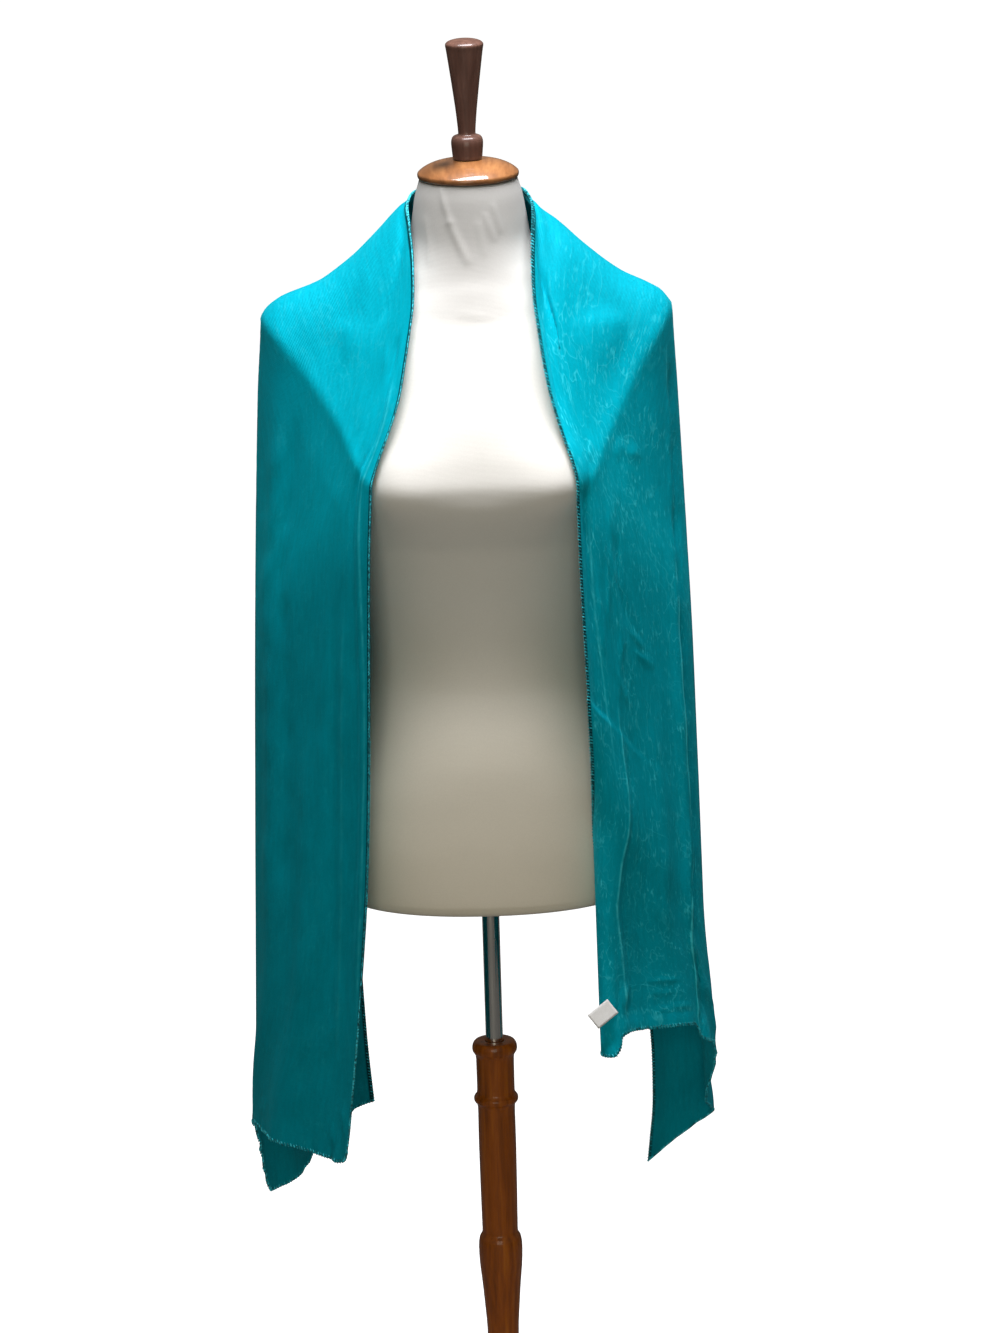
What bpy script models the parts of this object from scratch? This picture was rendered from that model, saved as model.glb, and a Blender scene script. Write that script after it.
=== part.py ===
"""A jersey knit scarf draped over the shoulders of a limbless dress form on a turned wooden stand.

Metres, +Z up. The origin is the centre of the base's underside. +X is the right of someone who faces
the form, and -Y is the form's front.
"""

import math
from typing import NamedTuple

import bmesh
import bpy
import numpy as np

# Driving sizes of the cloth
CLOTH = 0.0015
SEAM_GAP = 0.0003
SEAM_RUN = 0.0006
NECK_EDGE_HEIGHT = 1.550
HANG_HEIGHT = 0.50
CLOTH_CLEARANCE = 0.0028
SHOULDER_DROP = 0.0030
RIGHT_TIP_SHARE = 0.945
RIGHT_HANG_SHARE = 0.935
RIGHT_HEM_SHARE = 0.912

# Driving sizes of the form and the stand
FORM_BOTTOM = 0.800
NECK_TOP = 1.566
POLE_RADIUS = 0.0093
POLE_CLEARANCE = 0.0005
SOCKET_TOP = 0.915
POST_TOP = 0.626
POST_BORE_BOTTOM = 0.285
BASE_RADIUS = 0.180
BASE_THICK = 0.024
SEAT_GAP = 0.0003


class Meridian(NamedTuple):
    """How far the cloth stands from the form's axis in one direction, which is turned from the front."""

    angle: float
    neck_reach: float
    knee_reach: float
    knee_height: float
    tip_reach: float
    tip_height: float
    hang_reach: float
    hem_reach: float


MERIDIANS = (
    Meridian(18, 0.0620, 0.115, 1.410, 0.165, 1.268, 0.170, 0.178),
    Meridian(30, 0.0620, 0.116, 1.410, 0.166, 1.268, 0.171, 0.180),
    Meridian(41, 0.0620, 0.118, 1.410, 0.168, 1.270, 0.172, 0.185),
    Meridian(55, 0.0630, 0.121, 1.433, 0.171, 1.325, 0.178, 0.196),
    Meridian(68, 0.0630, 0.128, 1.453, 0.185, 1.372, 0.193, 0.219),
    Meridian(79, 0.0628, 0.142, 1.462, 0.209, 1.410, 0.215, 0.247),
    Meridian(90, 0.0628, 0.155, 1.464, 0.220, 1.425, 0.226, 0.261),
    Meridian(101, 0.0615, 0.143, 1.464, 0.208, 1.417, 0.215, 0.248),
    Meridian(112, 0.0600, 0.122, 1.468, 0.176, 1.404, 0.187, 0.214),
    Meridian(127, 0.0590, 0.104, 1.472, 0.150, 1.388, 0.155, 0.168),
    Meridian(146, 0.0580, 0.094, 1.470, 0.135, 1.370, 0.138, 0.140),
    Meridian(180, 0.0570, 0.087, 1.462, 0.119, 1.365, 0.121, 0.122),
)


class Station(NamedTuple):
    """Where one crosswise line of the knit lies: its end at the neck edge and its end at the outer edge."""

    run: float
    inner_angle: float
    inner_height: float
    outer_angle: float
    outer_height: float


LEFT_STATIONS = (
    Station(0.000, 180, 1.550, 180, 1.165),
    Station(0.045, 136, 1.550, 163, 1.165),
    Station(0.085, 96, 1.550, 149, 1.158),
    Station(0.125, 62, 1.533, 139, 1.140),
    Station(0.175, 43, 1.492, 132, 1.108),
    Station(0.230, 35.5, 1.440, 128, 1.075),
    Station(0.300, 34.5, 1.372, 126, 1.040),
    Station(0.400, 40.2, 1.275, 124.5, 0.985),
    Station(0.500, 41.2, 1.175, 124, 0.925),
    Station(0.650, 42.2, 1.025, 124, 0.820),
    Station(0.800, 44.0, 0.875, 124, 0.715),
    Station(0.950, 48.0, 0.725, 125, 0.620),
    Station(1.150, 57.0, 0.522, 127, 0.540),
)

RIGHT_STATIONS = (
    Station(0.000, 180, 1.550, 180, 1.165),
    Station(0.045, 136, 1.550, 163, 1.164),
    Station(0.085, 96, 1.550, 149, 1.154),
    Station(0.125, 64, 1.531, 138, 1.132),
    Station(0.175, 46, 1.492, 130, 1.098),
    Station(0.230, 37.5, 1.440, 125, 1.064),
    Station(0.300, 35.0, 1.372, 122, 1.026),
    Station(0.400, 38.5, 1.275, 120, 0.962),
    Station(0.500, 38.0, 1.175, 119, 0.890),
    Station(0.650, 38.2, 1.025, 118, 0.760),
    Station(0.760, 37.6, 0.915, 117.5, 0.664),
    Station(0.860, 35.6, 0.815, 117.5, 0.580),
    Station(0.920, 33.8, 0.755, 117, 0.530),
    Station(0.980, 31.8, 0.695, 117, 0.490),
    Station(1.033, 30.2, 0.642, 117, 0.456),
)


class HemPoint(NamedTuple):
    """The height of an end hem at a share of the scarf's width from the neck edge."""

    share: float
    height: float


LEFT_HEM = (
    HemPoint(0.00, 0.522),
    HemPoint(0.12, 0.529),
    HemPoint(0.25, 0.538),
    HemPoint(0.38, 0.549),
    HemPoint(0.46, 0.562),
    HemPoint(0.50, 0.535),
    HemPoint(0.55, 0.475),
    HemPoint(0.60, 0.441),
    HemPoint(0.70, 0.460),
    HemPoint(0.85, 0.506),
    HemPoint(1.00, 0.540),
)

RIGHT_HEM = (
    HemPoint(0.00, 0.642),
    HemPoint(0.15, 0.644),
    HemPoint(0.20, 0.668),
    HemPoint(0.40, 0.661),
    HemPoint(0.57, 0.643),
    HemPoint(0.61, 0.636),
    HemPoint(0.64, 0.616),
    HemPoint(0.68, 0.611),
    HemPoint(0.71, 0.560),
    HemPoint(0.75, 0.500),
    HemPoint(0.86, 0.477),
    HemPoint(1.00, 0.450),
)
HEM_FADE = 0.30


class Fold(NamedTuple):
    """A soft ridge, or with a negative height a trough, that runs along the scarf."""

    share: float
    half_width: float
    height: float
    start: float
    full: float


LEFT_FOLDS = (
    Fold(0.10, 0.06, -0.006, 0.45, 0.80),
    Fold(0.24, 0.05, 0.006, 0.50, 0.90),
    Fold(0.40, 0.05, 0.004, 0.45, 0.90),
    Fold(0.70, 0.05, -0.010, 0.35, 0.80),
    Fold(0.82, 0.05, 0.012, 0.30, 0.80),
    Fold(0.93, 0.05, -0.006, 0.40, 0.80),
)

RIGHT_FOLDS = (
    Fold(0.05, 0.03, -0.005, 0.04, 0.12),
    Fold(0.22, 0.05, -0.005, 0.45, 0.85),
    Fold(0.34, 0.05, 0.004, 0.45, 0.85),
    Fold(0.45, 0.025, 0.005, 0.25, 0.60),
    Fold(0.70, 0.05, -0.010, 0.35, 0.80),
    Fold(0.82, 0.05, 0.011, 0.30, 0.80),
    Fold(0.93, 0.05, -0.006, 0.40, 0.80),
)


class Flute(NamedTuple):
    """A standing wave of the cloth's lower part across the back, at a run from the centre back."""

    run: float
    half_width: float
    height: float


BACK_FLUTES = (
    Flute(-0.205, 0.030, 0.020),
    Flute(-0.120, 0.032, 0.016),
    Flute(-0.035, 0.030, 0.010),
    Flute(0.055, 0.034, 0.014),
    Flute(0.140, 0.030, 0.018),
    Flute(0.215, 0.028, 0.018),
)
FLUTE_START = 0.58

# The rolled corner of the right fall, and the straight line in which its near side hangs
ROLL_SHARE = 0.130
ROLL_START = 0.62
ROLL_FULL = 1.00
ROLL_TURN = math.radians(290)
STRAIGHT_EDGE = 0.1099
STRAIGHT_SLOPE = 0.0115
STRAIGHT_FROM = 0.874
STRAIGHT_SHARE = 0.52


# The folded label
LABEL_RUN = 0.985
LABEL_SHARE = 0.105
LABEL_LENGTH = 0.0250
LABEL_WIDTH = 0.0185
LABEL_LOOP = 0.0006
LABEL_TURN = math.radians(-48)


class Section(NamedTuple):
    """A level section of the form: its half width, and its depth in front of and behind the axis."""

    height: float
    half_width: float
    front: float
    back: float
    power: float


FORM_SECTIONS = (
    Section(0.8000, 0.1540, 0.1060, 0.1080, 2.2),
    Section(0.8040, 0.1590, 0.1110, 0.1130, 2.2),
    Section(0.8120, 0.1620, 0.1140, 0.1160, 2.2),
    Section(0.8600, 0.1680, 0.1200, 0.1220, 2.2),
    Section(0.9200, 0.1610, 0.1160, 0.1160, 2.2),
    Section(0.9900, 0.1390, 0.1020, 0.0960, 2.1),
    Section(1.0600, 0.1210, 0.0890, 0.0840, 2.0),
    Section(1.1200, 0.1260, 0.0940, 0.0870, 2.1),
    Section(1.1900, 0.1390, 0.1080, 0.0970, 2.2),
    Section(1.2350, 0.1480, 0.1260, 0.1030, 2.3),
    Section(1.2700, 0.1550, 0.1330, 0.1060, 2.3),
    Section(1.3150, 0.1620, 0.1220, 0.1085, 2.3),
    Section(1.3600, 0.1720, 0.1040, 0.1090, 2.3),
    Section(1.4000, 0.1820, 0.0900, 0.1010, 2.2),
    Section(1.4180, 0.1840, 0.0830, 0.0920, 2.1),
    Section(1.4300, 0.1770, 0.0790, 0.0870, 1.9),
    Section(1.4400, 0.1620, 0.0765, 0.0830, 1.8),
    Section(1.4490, 0.1410, 0.0740, 0.0790, 1.8),
    Section(1.4590, 0.1180, 0.0710, 0.0740, 1.8),
    Section(1.4700, 0.0980, 0.0670, 0.0680, 1.9),
    Section(1.4860, 0.0750, 0.0630, 0.0610, 2.0),
    Section(1.5080, 0.0625, 0.0590, 0.0560, 2.0),
    Section(1.5300, 0.0590, 0.0565, 0.0540, 2.0),
    Section(1.5500, 0.0555, 0.0540, 0.0520, 2.0),
    Section(1.5660, 0.0508, 0.0505, 0.0500, 2.0),
)
BUST_ANGLE = 34.0
BUST_SPREAD = 17.0
BUST_HEIGHT = 1.262
BUST_ABOVE = 0.055
BUST_BELOW = 0.034
BUST_FULLNESS = 0.016
FORM_SIDES = 40
FORM_LEVELS = (
    0.800, 0.804, 0.812, 0.835, 0.860, 0.895, 0.930, 0.965, 1.000, 1.030, 1.060, 1.090, 1.120, 1.155, 1.185, 1.210,
    1.235, 1.255, 1.275, 1.300, 1.325, 1.350, 1.375, 1.398, 1.412, 1.422, 1.431, 1.440, 1.449, 1.459, 1.472, 1.488,
    1.510, 1.530, 1.550, 1.566,
)


def slopes(knots, values):
    """Slopes of a smooth curve through the knots that adds no bumps between them, one column a curve."""
    steps = np.diff(knots)[:, None]
    chords = np.diff(values, axis=0) / steps
    out = np.empty_like(values)
    before, after = steps[:-1], steps[1:]
    left, right = chords[:-1], chords[1:]
    same = left * right > 0
    safe_left, safe_right = np.where(same, left, 1.0), np.where(same, right, 1.0)
    first, second = 2 * after + before, after + 2 * before
    out[1:-1] = np.where(same, (first + second) / (first / safe_left + second / safe_right), 0.0)
    out[0], out[-1] = chords[0], chords[-1]
    return out


def smooth(knots, values, at):
    """Values at the places `at` of a smooth curve through the knots; values may hold one curve per place."""
    knots = np.asarray(knots, float)
    at = np.clip(np.asarray(at, float), knots[0], knots[-1])
    values = np.asarray(values, float)
    if values.ndim == 1:
        values = np.repeat(values[:, None], at.size, axis=1)
    slope = slopes(knots, values)
    i = np.clip(np.searchsorted(knots, at, side="right") - 1, 0, len(knots) - 2)
    n = np.arange(at.size)
    step = knots[i + 1] - knots[i]
    x = (at - knots[i]) / step
    low, high = values[i, n], values[i + 1, n]
    return (
        low * (2 * x**3 - 3 * x**2 + 1)
        + high * (3 * x**2 - 2 * x**3)
        + step * (slope[i, n] * (x**3 - 2 * x**2 + x) + slope[i + 1, n] * (x**3 - x**2))
    )


def ease(low, high, at):
    """0 below low and 1 above high, with a smooth rise between."""
    x = np.clip((np.asarray(at, float) - low) / (high - low), 0, 1)
    return x * x * (3 - 2 * x)


def column(table, name):
    """One named column of a table as an array."""
    return np.array([getattr(row, name) for row in table], float)


def form_reach(angle, height):
    """The form's radius at angles in degrees from the front and at heights in metres."""
    heights = column(FORM_SECTIONS, "height")
    turn = np.radians(angle)
    across, along = np.abs(np.sin(turn)), np.cos(turn)
    half_width = smooth(heights, column(FORM_SECTIONS, "half_width"), height)
    front = smooth(heights, column(FORM_SECTIONS, "front"), height)
    back = smooth(heights, column(FORM_SECTIONS, "back"), height)
    power = smooth(heights, column(FORM_SECTIONS, "power"), height)
    depth = np.where(along > 0, front, back)
    plain = ((across / half_width) ** power + (np.abs(along) / depth) ** power) ** (-1 / power)
    off_angle = (np.minimum(angle, 360 - angle) - BUST_ANGLE) / BUST_SPREAD
    off_height = np.asarray(height) - BUST_HEIGHT
    off_height = off_height / np.where(off_height > 0, BUST_ABOVE, BUST_BELOW)
    return plain + BUST_FULLNESS * np.exp(-(off_angle**2) - off_height**2)


def cloth_reach(angle, height, is_right):
    """The cloth's middle surface: its radius at angles from the front and at heights, on one side."""
    angles = column(MERIDIANS, "angle")
    right_shares = (RIGHT_TIP_SHARE, RIGHT_HANG_SHARE, RIGHT_HEM_SHARE)
    tip_share, hang_share, hem_share = right_shares if is_right else (1.0, 1.0, 1.0)
    rows = []
    for row in MERIDIANS:
        beside = math.sin(math.radians(row.angle)) ** 2
        tip = row.tip_reach * (1 + (tip_share - 1) * beside)
        hang = row.hang_reach * (1 + (hang_share - 1) * beside)
        hem = row.hem_reach * (1 + (hem_share - 1) * beside)
        knots = (HANG_HEIGHT, row.tip_height - 0.08, row.tip_height, row.knee_height, NECK_EDGE_HEIGHT)
        rows.append(smooth(knots, (hem, hang, tip, row.knee_reach, row.neck_reach), height))
    free = smooth(angles, np.array(rows), angle)
    seat = form_reach(angle, np.asarray(height) - SHOULDER_DROP) + CLOTH_CLEARANCE
    blend = 0.004
    share = np.clip(0.5 + 0.5 * (seat - free) / blend, 0, 1)
    return free * (1 - share) + seat * share + blend * share * (1 - share)


def on_cloth(angle, height, is_right):
    """Points of the cloth's middle surface."""
    reach = cloth_reach(angle, height, is_right)
    turn = np.radians(angle)
    side = 1.0 if is_right else -1.0
    return np.stack([side * reach * np.sin(turn), -reach * np.cos(turn), np.asarray(height, float)], axis=-1)


def crosswise(stations, hem, run, shares, is_right):
    """One crosswise line of the knit, from the neck edge to the outer edge, at even steps along itself."""
    runs = column(stations, "run")
    ends = {name: float(smooth(runs, column(stations, name), [run])[0]) for name in Station._fields[1:]}
    last = stations[-1]
    fine = np.linspace(0, 1, 81)
    straight = last.inner_height + (last.outer_height - last.inner_height) * fine
    hem_offset = smooth(column(hem, "share"), column(hem, "height"), fine) - straight
    weight = ease(last.run - HEM_FADE, last.run, run)
    heights = ends["inner_height"] + (ends["outer_height"] - ends["inner_height"]) * fine + weight * hem_offset
    angles = ends["inner_angle"] + (ends["outer_angle"] - ends["inner_angle"]) * fine
    line = on_cloth(angles, heights, is_right)
    along = np.concatenate([[0], np.cumsum(np.linalg.norm(np.diff(line, axis=0), axis=1))])
    even = np.interp(shares * along[-1], along, fine)
    return on_cloth(np.interp(even, fine, angles), np.interp(even, fine, heights), is_right)


def fold_heights(run, shares, is_right):
    """How far the folds and flutes move the cloth outward along one crosswise line."""
    lift = np.zeros_like(shares)
    for fold in RIGHT_FOLDS if is_right else LEFT_FOLDS:
        grown = ease(fold.start, fold.full, run)
        lift += grown * fold.height * np.exp(-(((shares - fold.share) / fold.half_width) ** 2))
    signed = run if is_right else -run
    for flute in BACK_FLUTES:
        near = math.exp(-(((signed - flute.run) / flute.half_width) ** 2))
        lift += near * flute.height * ease(FLUTE_START, 1.0, shares)
    return lift


def sheet_points(runs, shares):
    """A grid of points on the whole scarf, with runs below 0 on the left of the centre back."""
    flat, lifts = [], []
    for run in runs:
        is_right = run >= 0
        stations, hem = (RIGHT_STATIONS, RIGHT_HEM) if is_right else (LEFT_STATIONS, LEFT_HEM)
        flat.append(crosswise(stations, hem, abs(run), shares, is_right))
        lifts.append(fold_heights(abs(run), shares, is_right))
    flat = np.array(flat)
    lifted = flat + normals(flat) * np.array(lifts)[:, :, None]
    return roll_corner(clear_of_form(lifted), runs, shares)


def clear_of_form(grid):
    """Moves points that a fold took too near the form back out to the seat."""
    x, y, z = grid.reshape(-1, 3).T
    angle = np.degrees(np.arctan2(np.abs(x), -y))
    reach = np.hypot(x, y)
    seat = form_reach(angle, z - SHOULDER_DROP) + CLOTH_CLEARANCE
    grow = np.maximum(1.0, seat / reach)
    return np.stack([x * grow, y * grow, z], axis=-1).reshape(grid.shape)


def normals(grid):
    """Unit normals of a grid of points, outward from the form."""
    along = np.gradient(grid, axis=0)
    across = np.gradient(grid, axis=1)
    facing = np.cross(along, across)
    return facing / np.linalg.norm(facing, axis=-1, keepdims=True)


def roll_corner(grid, runs, shares):
    """Winds the right fall's neck edge backward into a tube towards its hem."""
    facing = normals(grid)
    first = int(np.searchsorted(shares, ROLL_SHARE))
    for i, run in enumerate(runs):
        turn = ROLL_TURN * float(ease(ROLL_START, ROLL_FULL, run))
        if turn < 0.02:
            continue
        level = np.array([1.0, 1.0, 0.0])
        start, inward = grid[i, first].copy(), -facing[i, first] * level
        toward_edge = (grid[i, first - 1] - start) * level
        inward /= np.linalg.norm(inward)
        toward_edge /= np.linalg.norm(toward_edge)
        radius = np.linalg.norm(np.diff(grid[i, : first + 1] * level, axis=0), axis=1).sum() / turn
        for j in range(first):
            bend = turn * (shares[first] - shares[j]) / shares[first]
            wound = start + radius * (math.sin(bend) * toward_edge + (1 - math.cos(bend)) * inward)
            grid[i, j, :2] = wound[:2]
    return straighten_edge(grid, runs, shares, first)


def straighten_edge(grid, runs, shares, first):
    """Moves the winding rows sideways until the right fall's near side hangs straight."""
    weight = ease(STRAIGHT_SHARE, ROLL_SHARE, shares)
    for i in np.nonzero(runs > ROLL_START - 0.14)[0]:
        wanted = STRAIGHT_EDGE + STRAIGHT_SLOPE * (STRAIGHT_FROM - grid[i, first, 2])
        share = float(ease(ROLL_START - 0.14, ROLL_START + 0.10, runs[i]))
        grid[i, :, 0] += share * (wanted - grid[i, : first + 1, 0].min()) * weight
    return grid


def new_mesh(name):
    """An empty mesh object of that name, and the bmesh that its shape is made in."""
    mesh = bpy.data.meshes.new(name)
    part = bpy.data.objects.new(name, mesh)
    bpy.context.scene.collection.objects.link(part)
    return part, bmesh.new()


def finish_mesh(part, shape, material, corner=math.radians(35)):
    """Writes the bmesh into its object, shaded smooth but for its corners."""
    bmesh.ops.recalc_face_normals(shape, faces=shape.faces)
    shape.to_mesh(part.data)
    shape.free()
    part.data.shade_smooth()
    part.data.set_sharp_from_angle(angle=corner)
    part.data.materials.append(material)
    return part


def material_of(name, colour, roughness, metallic=0.0):
    """A plain Principled material."""
    made = bpy.data.materials.new(name)
    made.use_nodes = True
    shader = made.node_tree.nodes["Principled BSDF"]
    shader.inputs["Base Color"].default_value = (*colour, 1.0)
    shader.inputs["Roughness"].default_value = roughness
    shader.inputs["Metallic"].default_value = metallic
    return made


def cloth_wall(name, runs, shares, material):
    """A closed wall of cloth between its outer and inner points, over a grid of runs and width shares."""
    middle = sheet_points(runs, shares)
    facing = normals(middle)
    part, shape = new_mesh(name)
    layers = []
    for offset in (CLOTH / 2, -CLOTH / 2):
        points = middle + facing * offset
        layers.append([[shape.verts.new(tuple(p)) for p in row] for row in points])
    outer, inner = layers
    rows, columns = len(runs), len(shares)
    for i in range(rows - 1):
        for j in range(columns - 1):
            shape.faces.new((outer[i][j], outer[i + 1][j], outer[i + 1][j + 1], outer[i][j + 1]))
            shape.faces.new((inner[i][j], inner[i][j + 1], inner[i + 1][j + 1], inner[i + 1][j]))
    for i in range(rows - 1):
        for j in (0, columns - 1):
            shape.faces.new((outer[i][j], outer[i + 1][j], inner[i + 1][j], inner[i][j]))
    for j in range(columns - 1):
        for i in (0, rows - 1):
            shape.faces.new((outer[i][j], outer[i][j + 1], inner[i][j + 1], inner[i][j]))
    return finish_mesh(part, shape, material, math.radians(60))


def turned(name, profile, sides, material, corner=math.radians(35)):
    """A turned solid: a closed profile of (radius, height) points spun about the Z axis."""
    part, shape = new_mesh(name)
    rings = []
    for radius, height in profile:
        if radius < 1e-6:
            rings.append([shape.verts.new((0, 0, height))])
            continue
        around = [2 * math.pi * k / sides for k in range(sides)]
        rings.append([shape.verts.new((radius * math.cos(a), radius * math.sin(a), height)) for a in around])
    for low, high in zip(rings, rings[1:] + rings[:1]):
        for k in range(sides):
            corners = [low[k % len(low)], low[(k + 1) % len(low)], high[(k + 1) % len(high)], high[k % len(high)]]
            corners = list(dict.fromkeys(corners))
            if len(corners) > 2:
                shape.faces.new(corners)
    return finish_mesh(part, shape, material, corner)


def rounded(start, end, bulge, steps=4):
    """Profile points from start to end, swollen outward by bulge at the middle."""
    points = []
    for k in range(steps + 1):
        share = k / steps
        radius = start[0] + (end[0] - start[0]) * share + bulge * math.sin(math.pi * share)
        points.append((radius, start[1] + (end[1] - start[1]) * share))
    return points


def make_form(material):
    """The form's body, open below in a socket for the pole."""
    part, shape = new_mesh("form_body")
    angles = np.arange(FORM_SIDES) * 360.0 / FORM_SIDES
    turn = np.radians(angles)
    rings = []
    for height in FORM_LEVELS:
        reach = form_reach(angles, np.full(FORM_SIDES, height))
        x, y = reach * np.sin(turn), -reach * np.cos(turn)
        rings.append([shape.verts.new((x[k], y[k], height)) for k in range(FORM_SIDES)])
    socket = POLE_RADIUS + POLE_CLEARANCE
    for height in (SOCKET_TOP, FORM_BOTTOM):
        ring = [shape.verts.new((socket * math.sin(a), -socket * math.cos(a), height)) for a in turn]
        rings.insert(0, ring)
    rings = [rings[1], rings[0], *rings[2:]]
    for low, high in zip(rings, rings[1:]):
        for k in range(FORM_SIDES):
            n = (k + 1) % FORM_SIDES
            shape.faces.new((low[k], low[n], high[n], high[k]))
    shape.faces.new(rings[0])
    shape.faces.new(rings[-1])
    return finish_mesh(part, shape, material, math.radians(50))


def make_cap_and_finial(wood, dark_wood):
    """The turned cap on the neck, and the finial on the cap."""
    seat = NECK_TOP + SEAT_GAP
    turned(
        "neck_cap",
        [
            (0.0, seat),
            (0.0495, seat),
            (0.0520, seat + 0.0012),
            (0.0527, seat + 0.0035),
            (0.0525, seat + 0.0060),
            (0.0512, seat + 0.0076),
            (0.0480, seat + 0.0102),
            (0.0430, seat + 0.0132),
            (0.0360, seat + 0.0160),
            (0.0270, seat + 0.0182),
            (0.0165, seat + 0.0192),
            (0.0, seat + 0.0192),
        ],
        40,
        wood,
        math.radians(50),
    )
    foot = seat + 0.0192 + SEAT_GAP
    turned(
        "finial",
        [
            (0.0, foot),
            (0.0148, foot),
            (0.0153, foot + 0.0015),
            (0.0160, foot + 0.0090),
            (0.0167, foot + 0.0165),
            (0.0163, foot + 0.0208),
            (0.0148, foot + 0.0238),
            (0.0120, foot + 0.0252),
            (0.0092, foot + 0.0256),
            (0.0089, foot + 0.0285),
            (0.0108, foot + 0.0500),
            (0.0146, foot + 0.0810),
            (0.0190, foot + 0.1140),
            (0.0199, foot + 0.1185),
            (0.0196, foot + 0.1205),
            (0.0170, foot + 0.1228),
            (0.0100, foot + 0.1248),
            (0.0, foot + 0.1252),
        ],
        28,
        dark_wood,
    )


def make_stand(wood, steel):
    """The steel pole, the turned post that it slides in, and the round base."""
    turned(
        "pole",
        [
            (0.0, POST_BORE_BOTTOM + SEAT_GAP),
            (POLE_RADIUS, POST_BORE_BOTTOM + SEAT_GAP),
            (POLE_RADIUS, SOCKET_TOP - SEAT_GAP),
            (0.0, SOCKET_TOP - SEAT_GAP),
        ],
        24,
        steel,
    )
    bore = POLE_RADIUS + POLE_CLEARANCE
    post_foot = BASE_THICK + SEAT_GAP
    turned(
        "post",
        [
            (0.0, post_foot),
            (0.0330, post_foot),
            *rounded((0.0330, post_foot + 0.002), (0.0300, post_foot + 0.020), 0.0050),
            (0.0200, post_foot + 0.030),
            (0.0178, 0.085),
            *rounded((0.0205, 0.097), (0.0205, 0.108), 0.0030),
            (0.0175, 0.118),
            (0.0200, 0.160),
            (0.0172, 0.225),
            (0.0165, 0.260),
            (0.0172, 0.300),
            (0.0205, 0.345),
            (0.0232, 0.372),
            (0.0238, 0.392),
            (0.0222, 0.404),
            (0.0192, 0.408),
            (0.0198, 0.455),
            (0.0202, 0.510),
            (0.0199, 0.552),
            *rounded((0.0212, 0.5555), (0.0212, 0.5655), 0.0026),
            (0.0202, 0.568),
            (0.0204, 0.608),
            *rounded((0.0215, 0.6115), (0.0215, 0.6240), 0.0026),
            (0.0205, POST_TOP),
            (bore, POST_TOP),
            (bore, POST_BORE_BOTTOM),
            (0.0, POST_BORE_BOTTOM),
        ],
        24,
        wood,
    )
    turned(
        "base",
        [
            (0.0, 0.0),
            (BASE_RADIUS - 0.004, 0.0),
            *rounded((BASE_RADIUS - 0.001, 0.002), (BASE_RADIUS - 0.005, 0.018), 0.0020, 5),
            (BASE_RADIUS - 0.012, 0.0205),
            (0.0450, BASE_THICK),
            (0.0, BASE_THICK),
        ],
        48,
        wood,
    )


def make_label(material):
    """The folded label that stands off the right fall's rolled corner, sewn in at its back edge."""
    runs = np.array([LABEL_RUN - 0.01, LABEL_RUN, LABEL_RUN + 0.01])
    shares = np.linspace(0, 1, 201)
    grid = sheet_points(runs, shares)
    at = int(np.argmin(np.abs(shares - LABEL_SHARE)))
    middle, facing = grid[1, at], normals(grid)[1, at]
    down = np.array([0.0, 0.0, -1.0])
    down -= facing * (down @ facing)
    down /= np.linalg.norm(down)
    across = np.cross(facing, down)
    length = math.cos(LABEL_TURN) * down + math.sin(LABEL_TURN) * across
    width = np.cross(facing, length)
    part, shape = new_mesh("care_label")
    profile = []
    for k in range(9):
        bend = math.pi * k / 8
        profile.append((LABEL_LENGTH / 2 + LABEL_LOOP * math.sin(bend), LABEL_LOOP * (1 - math.cos(bend))))
    part_points = []
    lift = CLOTH / 2 + SEAM_GAP
    outline = [(-LABEL_LENGTH / 2, 0.0), (LABEL_LENGTH / 2, 0.0)]
    outline += [(x, z) for x, z in profile[1:-1]]
    outline += [(LABEL_LENGTH / 2, 2 * LABEL_LOOP), (-LABEL_LENGTH / 2, 2 * LABEL_LOOP)]
    for side in (-0.5, 0.5):
        ring = []
        for x, z in outline:
            point = middle + length * x + facing * (lift + z) + width * (side * LABEL_WIDTH)
            ring.append(shape.verts.new(tuple(point)))
        part_points.append(ring)
    near, far = part_points
    shape.faces.new(near)
    shape.faces.new(far)
    for k in range(len(near)):
        n = (k + 1) % len(near)
        shape.faces.new((near[k], near[n], far[n], far[k]))
    return finish_mesh(part, shape, material)


def main():
    for old in list(bpy.data.objects):
        bpy.data.objects.remove(old)
    jersey = material_of("jersey", (0.0, 0.36, 0.40), 0.55)
    linen = material_of("linen_cover", (0.72, 0.70, 0.65), 0.85)
    tape = material_of("white_tape", (0.85, 0.85, 0.84), 0.7)
    wood = material_of("turned_wood", (0.20, 0.075, 0.018), 0.35)
    dark_wood = material_of("dark_wood", (0.10, 0.045, 0.03), 0.30)
    steel = material_of("chromed_steel", (0.62, 0.62, 0.62), 0.15, 1.0)

    even = np.linspace(0, 1, 23)
    rolled = np.concatenate([np.linspace(0, ROLL_SHARE, 8)[:-1], np.linspace(ROLL_SHARE, 1, 18)])
    split = 0.46
    left_end, right_end = LEFT_STATIONS[-1].run, RIGHT_STATIONS[-1].run
    wrap = np.linspace(-split, split, 49)
    cloth_wall("scarf_wrap", wrap, even, jersey)
    cloth_wall("scarf_left_fall", -np.linspace(split + SEAM_RUN, left_end, 24)[::-1], even, jersey)
    cloth_wall("scarf_right_fall", np.linspace(split + SEAM_RUN, right_end, 24), rolled, jersey)
    make_label(tape)
    make_form(linen)
    make_cap_and_finial(wood, dark_wood)
    make_stand(wood, steel)


main()
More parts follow.
